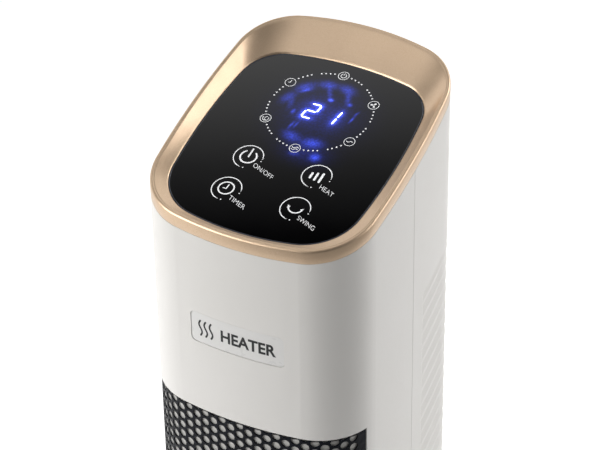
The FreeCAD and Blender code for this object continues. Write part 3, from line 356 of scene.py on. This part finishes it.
def glowing(name, colour, strength):
    """A lit mark, or a printed mark given a painted glow, slightly uneven like ink over a lamp."""
    surface = Surface(name, Roughness=0.4)
    surface.shader.inputs["Emission Color"].default_value = (*colour, 1)
    surface.colour(surface.ramp(surface.noise(900), 0.35, 0.65, shade(colour, 0.85), colour))
    surface.link(surface.spread(surface.noise(700), strength * 0.85, strength * 1.1),
                 surface.shader.inputs["Emission Strength"])
    return surface.material


def enamel():
    """Dark blue-black enamel on the perforated sheet."""
    surface = Surface("grille_metal", IOR=1.2)
    surface.shader.inputs["Coat Weight"].default_value = 0.06
    surface.shader.inputs["Coat Roughness"].default_value = 0.35
    surface.colour(surface.ramp(surface.noise(40), 0.35, 0.65, (0.0012, 0.002, 0.005),
                                (0.0025, 0.004, 0.009)))
    surface.roughness(surface.spread(surface.noise(1600), 0.34, 0.5))
    surface.bump(surface.noise(2400, 2), 0.00002)
    return surface.material


def board():
    """Lacquered circuit board with a faint pattern of tracks."""
    surface = Surface("circuit_board", Roughness=0.35)
    tracks = surface.node("ShaderNodeTexBrick")
    tracks.inputs["Scale"].default_value = 160
    tracks.inputs["Color1"].default_value = (0.02, 0.12, 0.05, 1)
    tracks.inputs["Color2"].default_value = (0.03, 0.15, 0.07, 1)
    tracks.inputs["Mortar"].default_value = (0.06, 0.26, 0.12, 1)
    surface.link(surface.place, tracks.inputs["Vector"])
    surface.colour(tracks.outputs["Color"])
    surface.bump(tracks.outputs["Fac"], 0.00005)
    return surface.material


def foam():
    """Open-cell filter foam."""
    surface = Surface("filter_foam", Roughness=0.95)
    cells = surface.node("ShaderNodeTexVoronoi")
    cells.inputs["Scale"].default_value = 900
    surface.link(surface.place, cells.inputs["Vector"])
    surface.colour(surface.ramp(cells.outputs["Distance"], 0.1, 0.7, (0.05, 0.05, 0.055),
                                (0.16, 0.16, 0.17)))
    surface.bump(cells.outputs["Distance"], 0.0006)
    return surface.material


def slot_materials():
    """One material for each of the record's slots."""
    return {
        "white_shell": white_shell(),
        "champagne_trim": champagne(),
        "panel_glass": panel_glass(),
        "black_plastic": moulded("black_plastic", (0.022, 0.022, 0.024), 0.5, 1800, 0.00006),
        "circuit_board": board(),
        "display_lens": moulded("display_lens", (0.02, 0.03, 0.09), 0.12, 900, 0.00001),
        "lamp": glowing("lamp", (0.75, 0.85, 1.0), 1.0),
        "sponge": moulded("sponge", (0.03, 0.03, 0.03), 0.95, 2600, 0.0003),
        "badge": moulded("badge", (0.80, 0.79, 0.77), 0.3, 900, 0.00002, 0.03),
        "grille_metal": enamel(),
        "guard_metal": moulded("guard_metal", (0.60, 0.59, 0.56), 0.42, 1300, 0.00008, 0.12),
        "heater_ceramic": moulded("heater_ceramic", (0.70, 0.67, 0.60), 0.8, 1500, 0.0001, 0.12),
        "heat_plastic": moulded("heat_plastic", (0.05, 0.045, 0.04), 0.6, 1500, 0.00008),
        "fins": metal("fins", (0.77, 0.78, 0.79), 0.3, (1, 1, 4)),
        "brass": metal("brass", (0.80, 0.60, 0.28), 0.28, (1, 1, 8)),
        "steel": metal("steel", (0.62, 0.62, 0.63), 0.28, (1, 1, 20)),
        "sheet_steel": metal("sheet_steel", (0.56, 0.57, 0.58), 0.38, (6, 6, 1)),
        "blower_plastic": moulded("blower_plastic", (0.10, 0.10, 0.11), 0.5, 1300, 0.00006),
        "iron": moulded("iron", (0.09, 0.09, 0.095), 0.5, 800, 0.0002, 0.25),
        "filter_foam": foam(),
        "component": moulded("component", (0.05, 0.13, 0.36), 0.35, 1200, 0.00003, 0.15),
        "rubber": moulded("rubber", (0.025, 0.025, 0.026), 0.8, 1500, 0.0001, 0.2),
        "gear_plastic": moulded("gear_plastic", (0.76, 0.75, 0.70), 0.4, 1400, 0.00003),
        "switch_red": moulded("switch_red", (0.02, 0.02, 0.022), 0.22, 1300, 0.00002),
    }


# ----------------------------------------------------------- places on the panel

def on_panel(across, up, lift=0.0):
    """A point of the glass in millimetres across and up its slope from the widest line."""
    start = TOWER["widest"] * MM
    foot = Vector((0, start, GLASS_LEVEL + GLASS_SLOPE * start))
    slope = Vector((0, math.cos(GLASS_TILT), math.sin(GLASS_TILT)))
    normal = Vector((0, -math.sin(GLASS_TILT), math.cos(GLASS_TILT)))
    return foot + Vector((across * MM, 0, 0)) + slope * up * MM + normal * lift * MM


def on_badge(across, up, lift=0.0):
    """A point of the badge's curved face, in millimetres from its middle."""
    low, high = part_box("badge_plate")
    centre_y = (TOWER["front_bow"] - TOWER["front"]) * MM
    radius = centre_y - low.y + lift * MM
    turn = across * MM / radius
    return Vector((math.sin(turn) * radius, centre_y - math.cos(turn) * radius,
                   (low.z + high.z) / 2 + up * MM))


def link_object(name, data):
    """A new object in the scene that holds a mesh, a lamp, a camera or lettering."""
    made = bpy.data.objects.new(name, data)
    bpy.context.scene.collection.objects.link(made)
    return made


def link_mesh(name, points, faces, material, smooth=False):
    """Adds a mesh to the scene that rides on the tower."""
    mesh = bpy.data.meshes.new(name)
    mesh.from_pydata([tuple(point) for point in points], [], faces)
    mesh.update()
    piece = link_object(name, mesh)
    mesh.materials.append(material)
    if smooth:
        mesh.polygons.foreach_set("use_smooth", [True] * len(mesh.polygons))
    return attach(piece, "tower")


class Print:
    """Flat marks laid on a surface: strokes, discs and filled shapes in millimetres."""

    def __init__(self, surface, lift):
        self.surface = surface
        self.lift = lift
        self.points = []
        self.faces = []

    def add(self, corners):
        """One filled face."""
        first = len(self.points)
        self.points += [self.surface(x, y, self.lift) for x, y in corners]
        self.faces.append(tuple(range(first, first + len(corners))))

    def disc(self, x, y, radius, steps=20):
        """A filled circle."""
        self.add([(x + radius * math.cos(math.tau * step / steps),
                   y + radius * math.sin(math.tau * step / steps)) for step in range(steps)])

    def stroke(self, path, width, closed=False, taper=0.0):
        """A line of even width with round ends; taper thins its two ends."""
        count = len(path)
        left, right = [], []
        for index, point in enumerate(path):
            before = path[index - 1] if index or closed else point
            after = path[(index + 1) % count] if index < count - 1 or closed else point
            run = Vector(after) - Vector(before)
            run.normalize()
            share = min(1.0, min(index, count - 1 - index) / (taper * count)) if taper else 1.0
            half = width / 2 * (0.25 + 0.75 * share)
            side = Vector((-run.y, run.x)) * half
            left.append(Vector(point) + side)
            right.append(Vector(point) - side)
        for index in range(count if closed else count - 1):
            following = (index + 1) % count
            self.add([left[index], right[index], right[following], left[following]])
        if not closed:
            for end in (0, count - 1):
                half = (left[end] - right[end]).length / 2
                self.disc(*path[end], half, 10)

    def arc(self, x, y, radius, start, end, width, taper=0.0):
        """An open circular line, in degrees clockwise from straight up."""
        steps = max(8, int(abs(end - start) / 5))
        path = []
        for step in range(steps + 1):
            turn = math.radians(start + (end - start) * step / steps)
            path.append((x + radius * math.sin(turn), y + radius * math.cos(turn)))
        self.stroke(path, width, taper=taper)

    def ring(self, x, y, radius, width, steps=48):
        """A closed circular line."""
        path = [(x + radius * math.sin(math.tau * step / steps),
                 y + radius * math.cos(math.tau * step / steps)) for step in range(steps)]
        self.stroke(path, width, closed=True)

    def words(self, text, x, y, height, length, slant, thin=0.0):
        """Upright capitals from a starting point, fitted to a length on a slanting line."""
        curve = bpy.data.curves.new("lettering", "FONT")
        curve.body = text
        curve.offset = -thin
        writer = link_object("lettering", curve)
        bpy.context.view_layer.update()
        graph = bpy.context.evaluated_depsgraph_get()
        mesh = bpy.data.meshes.new_from_object(writer.evaluated_get(graph))
        bpy.data.objects.remove(writer)
        places = [vertex.co.copy() for vertex in mesh.vertices]
        left, right = (edge(place.x for place in places) for edge in (min, max))
        tallest = max(place.y for place in places)
        line = Vector((math.cos(math.radians(slant)), math.sin(math.radians(slant))))
        first = len(self.points)
        for place in places:
            spot = Vector((x, y)) + line * (place.x - left) / (right - left) * length
            self.points.append(self.surface(spot.x, spot.y + place.y / tallest * height,
                                            self.lift))
        self.faces += [tuple(first + index for index in face.vertices)
                       for face in mesh.polygons]
        bpy.data.meshes.remove(mesh)

    def make(self, name, material):
        """Adds the marks made so far as one piece."""
        link_mesh(name, self.points, self.faces, material)


# -------------------------------------------------------------- champagne trim

# the rim's face from its lower edge to the start of its dished wall, in millimetres: inset
# from the tower's outline, and drop below the rim's plane
RIM_FACE = ((2.3, RIM_BAND), (0.45, RIM_BAND), (0.12, RIM_BAND - 0.12), (0.0, RIM_BAND - 0.45),
            (0.0, RIM_BAND * 0.5), (0.0, 1.5), (0.12, 0.95), (0.45, 0.45), (0.95, 0.12),
            (1.5, 0.0), (2.3, 0.10), (2.45, 0.28), (2.75, 0.30), (2.9, 0.16), (3.3, 0.22))
# the dished wall: its rows, its bow as a share of its fall, and the millimetres from the
# glass's face to its foot and to its hidden lower edge
WALL_STEPS = 14
WALL_BOW = 0.03
WALL_FOOT = 0.3
WALL_HIDDEN = -1.2
# the polished edge of the glass: inset from its outline, and lift above its face
GLASS_BEAD = ((0.45, 0.0), (0.6, 0.13), (0.85, 0.18), (1.1, 0.13), (1.25, 0.0))


def over_rim(point, lift):
    """A point of an outline, raised to the rim's plane and a lift in millimetres."""
    return Vector((point.x, point.y, RIM_LEVEL + RIM_SLOPE * point.y + lift * MM))


def over_glass(point, lift):
    """A point of an outline, raised to the glass's face and a lift in millimetres."""
    return Vector((point.x, point.y, GLASS_LEVEL + GLASS_SLOPE * point.y + lift * MM))


def link_loops(name, rows, material):
    """A smooth skin over closed loops of points, each joined to the next."""
    count = len(rows[0])
    points = [point for row in rows for point in row]
    faces = []
    for index in range(len(rows) - 1):
        for step in range(count):
            following = (step + 1) % count
            faces.append((index * count + step, index * count + following,
                          (index + 1) * count + following, (index + 1) * count + step))
    return link_mesh(name, points, faces, material, smooth=True)


def trim_ring(material):
    """Sloping rim: outer band, rounded crease, narrow land with a groove, dished wall."""
    rows = [[over_rim(point, -drop) for point in outline_loop(TOWER, inset)]
            for inset, drop in RIM_FACE]
    brink = rows[-1]
    glass = outline_loop(GLASS)
    for step in range(1, WALL_STEPS + 1):
        share = step / WALL_STEPS
        fall = share + WALL_BOW * math.sin(math.pi * share)
        row = []
        for top, edge in zip(brink, glass):
            foot = over_glass(edge, WALL_FOOT)
            flat = top.lerp(foot, share)
            row.append(Vector((flat.x, flat.y, top.z + (foot.z - top.z) * fall)))
        rows.append(row)
    rows.append([over_glass(edge, WALL_HIDDEN) for edge in glass])
    ring = link_loops("champagne_rim", rows, material)
    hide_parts("top_trim_ring")


def glass_rim():
    """The polished edge of the glass, a hair above its face."""
    surface = Surface("glass_edge", IOR=1.52)
    surface.colour(surface.ramp(surface.noise(60), 0.35, 0.65, (0.018, 0.022, 0.035),
                                (0.03, 0.036, 0.055)))
    surface.roughness(surface.spread(surface.noise(400), 0.1, 0.2))
    rows = [[over_glass(point, lift) for point in outline_loop(GLASS, inset)]
            for inset, lift in GLASS_BEAD]
    link_loops("glass_rim", rows, surface.material)


# ------------------------------------------------------------ perforated grille

HOLE_PITCH = 8.65 * MM
HOLE_RADIUS = 3.42 * MM
HOLE_STEPS = 18
# the first row's centres above the sheet's top edge, and the sheet's plain upright edges
FIRST_HOLE = 0.96 * MM
PLAIN_EDGE = 4.0 * MM
GRILLE_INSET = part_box("front_grille")[0].y / MM + TOWER["front"]
GRILLE_SHEET = 0.8 * MM


def perforated_grille(material):
    """A sheet with round holes on a hexagonal grid, bent round the front of the tower."""
    low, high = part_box("front_grille")
    column = HOLE_PITCH * math.sqrt(3) / 2
    reach = reach_of(high.y, GRILLE_INSET)
    corner = HOLE_PITCH / math.sqrt(3)
    sheet = bmesh.new()

    def hexagon_point(step):
        """A point on the cell's six sides, at the same bearing order as the circle's."""
        per_side = HOLE_STEPS // 6
        side, part = divmod(step, per_side)
        turn = [math.radians(60 * (side + extra)) for extra in (0, 1)]
        ends = [Vector((math.cos(angle), math.sin(angle))) * corner for angle in turn]
        return ends[0].lerp(ends[1], part / per_side)

    columns = int(reach / column) + 2
    rows = int((high.z - low.z) / HOLE_PITCH) + 3
    rim = [hexagon_point(step) for step in range(HOLE_STEPS)]
    for i in range(-columns, columns + 1):
        for j in range(-1, rows):
            stagger = 0 if i % 2 else HOLE_PITCH / 2
            centre = Vector((i * column, high.z + FIRST_HOLE - j * HOLE_PITCH - stagger))
            outside = [sheet.verts.new((*(centre + point), 0)) for point in rim]
            if abs(centre.x) + HOLE_RADIUS > reach - PLAIN_EDGE:
                sheet.faces.new(outside)
                continue
            inside = [sheet.verts.new((*(centre + point.normalized() * HOLE_RADIUS), 0))
                      for point in rim]
            for step in range(HOLE_STEPS):
                following = (step + 1) % HOLE_STEPS
                sheet.faces.new((outside[step], outside[following], inside[following],
                                 inside[step]))
    bmesh.ops.remove_doubles(sheet, verts=sheet.verts, dist=0.00001)
    for place, normal in (((0, high.z), (0, 1)), ((0, low.z), (0, -1)),
                          ((reach, 0), (1, 0)), ((-reach, 0), (-1, 0))):
        everything = sheet.verts[:] + sheet.edges[:] + sheet.faces[:]
        bmesh.ops.bisect_plane(sheet, geom=everything, dist=0.000001, plane_co=(*place, 0),
                               plane_no=(*normal, 0), clear_outer=True)
    for vertex in sheet.verts:
        spot = front_run(vertex.co.x, GRILLE_INSET)
        vertex.co = (spot.x, spot.y, vertex.co.y)
    mesh = bpy.data.meshes.new("perforated_grille")
    sheet.to_mesh(mesh)
    sheet.free()
    mesh.materials.append(material)
    grille = link_object("perforated_grille", mesh)
    thick = grille.modifiers.new("sheet", "SOLIDIFY")
    thick.thickness = GRILLE_SHEET
    thick.offset = -1
    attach(grille, "tower")
    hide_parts("front_grille")


# --------------------------------------------------------------- panel printing

# millimetres across and up the glass; the ring of dots has its centre and its radius
RING = (0, 40.3, 39.6)
BUTTON_ASIDE = 27.7
BUTTON_ROWS = (-18.8, -52.35)
BUTTONS = {"power": (-BUTTON_ASIDE, BUTTON_ROWS[0]), "heat": (BUTTON_ASIDE, BUTTON_ROWS[0]),
           "timer": (-BUTTON_ASIDE, BUTTON_ROWS[1]), "swing": (BUTTON_ASIDE, BUTTON_ROWS[1])}
BUTTON_RADIUS = 11.0
# each word: text, start across and up from the button's centre, length
LABELS = {"power": ("ON/OFF", 7.35, -7.56, 20.2), "heat": ("HEAT", 6.8, -9.93, 13.4),
          "timer": ("TIMER", 5.72, -8.57, 16.45), "swing": ("SWING", 5.54, -8.66, 16.9)}
LABEL_SLANT = -20.4
LABEL_HEIGHT = 4.1
INK_LIFT = 0.06
BADGE_INK_LIFT = 0.05
# the two lit digits: the place across of each one's middle, and the bars that are lit
DIGITS = ((-5.9, "abged"), (11.0, "bc"))
DIGITS_UP = 38.7
DIGIT_HEIGHT = 14.6
DIGIT_WIDTH = 8.0
DIGIT_LEAN = math.tan(math.radians(9))
BAR_GAP = 0.45
BAR_WIDTH = 1.25


def wave(ink, x, y, half, width):
    """One full wave, drawn half its length to each side of its middle."""
    path = [(x + half * share, y + half * 0.28 * math.sin(share * math.pi))
            for share in [step / 8 - 1 for step in range(17)]]
    ink.stroke(path, width)


def status_icon(ink, kind, x, y):
    """One of the six small marks round the display."""
    ink.ring(x, y, 4.05, 0.45)
    if kind == "power":
        ink.arc(x, y, 2.1, 35, 325, 0.5)
        ink.stroke([(x, y + 0.5), (x, y + 2.6)], 0.5)
    elif kind == "fan":
        for turn in (30, 150, 270):
            angle = math.radians(turn)
            for reach, radius in ((1.0, 0.62), (1.75, 0.8)):
                ink.disc(x + reach * math.sin(angle), y + reach * math.cos(angle), radius)
    elif kind == "low":
        wave(ink, x, y, 2.3, 0.55)
    elif kind == "high":
        wave(ink, x, y + 0.85, 2.5, 0.55)
        wave(ink, x, y - 0.95, 2.5, 0.55)
    elif kind == "night":
        ink.arc(x, y, 2.3, 60, 300, 0.5)
        ink.arc(x + 1.3, y, 1.9, 195, 345, 0.45)
    elif kind == "time":
        ink.stroke([(x - 1.5, y - 0.2), (x - 0.2, y - 0.3), (x + 0.1, y + 2.2)], 0.6)


def panel_ring(ink):
    """The circle of dots with a mark every sixty degrees."""
    x, y, radius = RING
    for index, kind in enumerate(("power", "fan", "low", "high", "night", "time")):
        bearing = 60 * index
        turn = math.radians(bearing)
        status_icon(ink, kind, x + radius * math.sin(turn), y + radius * math.cos(turn))
        for offset in (10, 15, 20, 24.6):
            for side in (-1, 1):
                spot = math.radians(bearing + side * offset)
                ink.disc(x + radius * math.sin(spot), y + radius * math.cos(spot), 0.66, 14)


def button_marks(ink):
    """Four touch buttons: an open ring, a symbol inside and a slanted word beside each."""
    for name, (x, y) in BUTTONS.items():
        ink.arc(x, y, BUTTON_RADIUS, 186, 446, 0.72, taper=0.06)
        for bearing in (96, 174.5):
            turn = math.radians(bearing)
            ink.disc(x + BUTTON_RADIUS * math.sin(turn), y + BUTTON_RADIUS * math.cos(turn),
                     0.5, 12)
        text, across, up, length = LABELS[name]
        ink.words(text, x + across, y + up, LABEL_HEIGHT, length, LABEL_SLANT, 0.012)
    x, y = BUTTONS["power"]
    ink.arc(x, y, 6.1, 39, 321, 1.2)
    ink.stroke([(x, y), (x, y + 8.1)], 1.2)
    x, y = BUTTONS["heat"]
    for across, low, high in ((-4.2, -2.65, 1.93), (-0.3, -3.55, 3.0), (3.8, -4.4, 3.77)):
        ink.stroke([(x + across, y + low), (x + across, y + high)], 1.75)
    x, y = BUTTONS["timer"]
    ink.ring(x - 0.45, y + 0.25, 5.8, 1.05)
    ink.stroke([(x - 2.5, y - 0.1), (x - 0.3, y - 0.35), (x + 0.1, y + 3.8)], 0.95)
    x, y = BUTTONS["swing"]
    ink.arc(x - 0.1, y + 1.63, 5.53, 108, 252, 1.05)
    ink.add([(x - 6.5, y + 1.9), (x - 6.0, y - 1.2), (x - 4.1, y + 0.8)])
    ink.add([(x + 6.1, y + 2.0), (x + 3.7, y + 0.6), (x + 5.3, y - 1.2)])


def segment(ink, start, end, width):
    """One bar of a lit digit, pointed at both ends."""
    run = Vector(end) - Vector(start)
    run.normalize()
    side = Vector((-run.y, run.x)) * width / 2
    head, tail = Vector(end) - run * width / 2, Vector(start) + run * width / 2
    ink.add([Vector(start), tail - side, head - side, Vector(end), head + side, tail + side])


# the two ends of each bar, in widths across and half heights up
SEGMENTS = {"a": ((0, 2), (1, 2)), "b": ((1, 2), (1, 1)), "c": ((1, 1), (1, 0)),
            "d": ((0, 0), (1, 0)), "e": ((0, 1), (0, 0)), "f": ((0, 2), (0, 1)),
            "g": ((0, 1), (1, 1))}


def digit_bars():
    """The ends of the lit bars of the temperature's two digits."""
    bars = []
    for middle, lit in DIGITS:
        for bar in lit:
            ends = []
            for right, up in SEGMENTS[bar]:
                rise = (up - 1) * DIGIT_HEIGHT / 2
                ends.append(Vector((middle + (right - 0.5) * DIGIT_WIDTH + rise * DIGIT_LEAN,
                                    DIGITS_UP + rise)))
            run = (ends[1] - ends[0]).normalized() * BAR_GAP
            bars.append((ends[0] + run, ends[1] - run))
    return bars


def badge_marks(ink):
    """Three rising warm-air strokes and the plain word beside them."""
    for index in range(3):
        x = -30.0 + index * 4.6
        path = [(x + 1.25 * math.sin(share * math.tau), -6.6 + 13.2 * share)
                for share in [step / 20 for step in range(21)]]
        ink.stroke(path, 1.5)
    ink.words("HEATER", -12.5, -5.0, 10.0, 44.5, 0, -0.03)


# ------------------------------------------------------------- camera and light

# the camera's bearing from the front, its height angle and its lean; its distance in metres
# from the middle of the rim, and its shift across and up in its own plane; its lens in mm
CAMERA_AZIMUTH = math.radians(28.524)
CAMERA_ELEVATION = math.radians(35.848)
CAMERA_ROLL = math.radians(-0.962)
CAMERA_DISTANCE = 1.91303
CAMERA_ASIDE = (0.00415, -0.06062)
CAMERA_LENS = 159.98


def make_camera():
    """The view from the front right and above."""
    level = math.cos(CAMERA_ELEVATION)
    back = Vector((math.sin(CAMERA_AZIMUTH) * level, -math.cos(CAMERA_AZIMUTH) * level,
                   math.sin(CAMERA_ELEVATION)))
    right = Vector((math.cos(CAMERA_AZIMUTH), math.sin(CAMERA_AZIMUTH), 0))
    up = back.cross(right)
    right, up = (right * math.cos(CAMERA_ROLL) + up * math.sin(CAMERA_ROLL),
                 up * math.cos(CAMERA_ROLL) - right * math.sin(CAMERA_ROLL))
    widest = TOWER["widest"] * MM
    aim = Vector((0, widest, RIM_LEVEL + RIM_SLOPE * widest))
    data = bpy.data.cameras.new("camera")
    data.lens = CAMERA_LENS
    data.sensor_width = 36
    camera = link_object("camera", data)
    camera.location = (aim + back * CAMERA_DISTANCE + right * CAMERA_ASIDE[0]
                       + up * CAMERA_ASIDE[1])
    camera.rotation_euler = Matrix((right, up, back)).transposed().to_euler()
    bpy.context.scene.camera = camera


BODY_MIDDLE = (0, 0, 0.5)
BODY_TOP = (0, 0, 0.6)
# name, place, aim, width and height, watts, spread in degrees
LIGHTS = (
    ("key_left", (-1.7, -1.9, 1.35), BODY_MIDDLE, (2.2, 2.2), 14.0, 80),
    ("side_right", (2.2, 0.7, 1.2), BODY_MIDDLE, (1.2, 1.6), 2.2, 80),
    ("overhead", (-0.8, -0.5, 2.5), BODY_MIDDLE, (1.3, 1.3), 3.9, 180),
    ("upper_right", (1.40, 0.92, 2.27), BODY_TOP, (0.9, 0.9), 2.5, 100),
    ("rear_right", (1.17, 1.85, 1.99), BODY_TOP, (0.8, 0.8), 3.6, 100),
)


def softbox(name, place, aim, size, power, spread):
    """A rectangular lamp that faces a point."""
    data = bpy.data.lights.new(name, "AREA")
    data.shape = "RECTANGLE"
    data.spread = math.radians(spread)
    data.size, data.size_y = size
    data.energy = power
    lamp = link_object(name, data)
    lamp.location = place
    lamp.rotation_euler = (Vector(aim) - Vector(place)).to_track_quat("-Z", "Y").to_euler()


# the way the sky's shading runs, and its greys from 0, facing against it, to 1, along it
SKY_RISE = (-0.283, 0.815, -0.504)
SKY_STEPS = ((0.0, 0.07), (0.12, 0.09), (0.22, 0.34), (0.32, 0.3), (0.43, 0.002),
             (0.502, 0.002), (0.515, 0.24), (0.535, 1.05), (0.56, 1.25), (0.7, 1.0), (1.0, 0.85))


def make_sky():
    """A sky that is dark overhead and in front, and bright low down behind."""
    world = bpy.data.worlds.new("studio")
    bpy.context.scene.world = world
    world.use_nodes = True
    tree = world.node_tree
    direction = tree.nodes.new("ShaderNodeTexCoord")
    rise = tree.nodes.new("ShaderNodeVectorMath")
    rise.operation = "DOT_PRODUCT"
    rise.inputs[1].default_value = SKY_RISE
    tree.links.new(direction.outputs["Generated"], rise.inputs[0])
    share = tree.nodes.new("ShaderNodeMapRange")
    share.inputs["From Min"].default_value = -1
    tree.links.new(rise.outputs["Value"], share.inputs["Value"])
    ramp = tree.nodes.new("ShaderNodeValToRGB")
    stops = ramp.color_ramp.elements
    while len(stops) < len(SKY_STEPS):
        stops.new(0.5)
    for stop, (place, grey) in zip(stops, SKY_STEPS):
        stop.position = place
        stop.color = (grey, grey, grey, 1)
    tree.links.new(share.outputs["Result"], ramp.inputs["Fac"])
    tree.links.new(ramp.outputs["Color"], tree.nodes["Background"].inputs["Color"])


# the floor changes along a line from the camera's side to the far side, in metres, and its
# shade and its own light go from the first value to the second
FLOOR_AWAY = (-0.75, 0.66, 0)
FLOOR_FADE = (-0.75, 0.15)
FLOOR_GREY = (0.36, 0.9)
FLOOR_GLOW = (0.07, 0.46)
FLOOR_REACH = 9.0


def make_floor():
    """Pale floor, lifted to white behind the heater by a fill light of its own."""
    surface = Surface("studio_floor", Roughness=0.9)
    away = surface.node("ShaderNodeVectorMath", operation="DOT_PRODUCT")
    away.inputs[1].default_value = FLOOR_AWAY
    surface.link(surface.place, away.inputs[0])
    shares = []
    for least, most in ((0.0, 1.0), FLOOR_GLOW):
        share = surface.node("ShaderNodeMapRange", interpolation_type="SMOOTHSTEP")
        for label, number in (("From Min", FLOOR_FADE[0]), ("From Max", FLOOR_FADE[1]),
                              ("To Min", least), ("To Max", most)):
            share.inputs[label].default_value = number
        surface.link(away.outputs["Value"], share.inputs["Value"])
        shares.append(share.outputs["Result"])
    grain = surface.node("ShaderNodeMath", operation="MULTIPLY")
    surface.link(shares[0], grain.inputs[0])
    surface.link(surface.spread(surface.noise(3), 0.96, 1.0), grain.inputs[1])
    greys = [(grey, grey, grey) for grey in FLOOR_GREY]
    surface.colour(surface.ramp(grain.outputs["Value"], 0, 1, *greys))
    surface.shader.inputs["Emission Color"].default_value = (1, 1, 1, 1)
    surface.link(shares[1], surface.shader.inputs["Emission Strength"])
    mesh = bpy.data.meshes.new("studio_floor")
    corners = [(x * FLOOR_REACH, y * FLOOR_REACH, 0)
               for x, y in ((-1, -1), (1, -1), (1, 1), (-1, 1))]
    mesh.from_pydata(corners, [], [(0, 1, 2, 3)])
    mesh.materials.append(surface.material)
    link_object("studio_floor", mesh)


def make_studio():
    """Five soft lamps, the sky and the floor."""
    for light in LIGHTS:
        softbox(*light)
    make_sky()
    make_floor()
    bpy.context.scene.view_settings.view_transform = "Standard"


# ---------------------------------------------------------------------- build

make_camera()
make_studio()
materials = slot_materials()
for row in frame["record"]["subparts"]:
    piece = frame["nodes"][row["node"]]
    piece.data.materials.clear()
    piece.data.materials.append(materials[row["material_slot"]])

trim_ring(materials["champagne_trim"])
glass_rim()
perforated_grille(materials["grille_metal"])

# the white print glows faintly of its own: painted light on ink that is no lamp
white_print_painted_glow = glowing("white_print_painted_glow", (0.86, 0.87, 0.88), 0.35)
marks = Print(on_panel, INK_LIFT)
panel_ring(marks)
button_marks(marks)
marks.make("panel_print", white_print_painted_glow)

lit = Print(on_panel, INK_LIFT)
for start, end in digit_bars():
    segment(lit, start, end, BAR_WIDTH)
lit.make("lit_digits", glowing("lit_digits", (0.80, 0.88, 1.0), 3.0))

black_ink = moulded("black_ink", (0.012, 0.012, 0.013), 0.45, 1200, 0.00001, 0.2, 0)
emblem = Print(on_badge, BADGE_INK_LIFT)
badge_marks(emblem)
emblem.make("badge_print", black_ink)
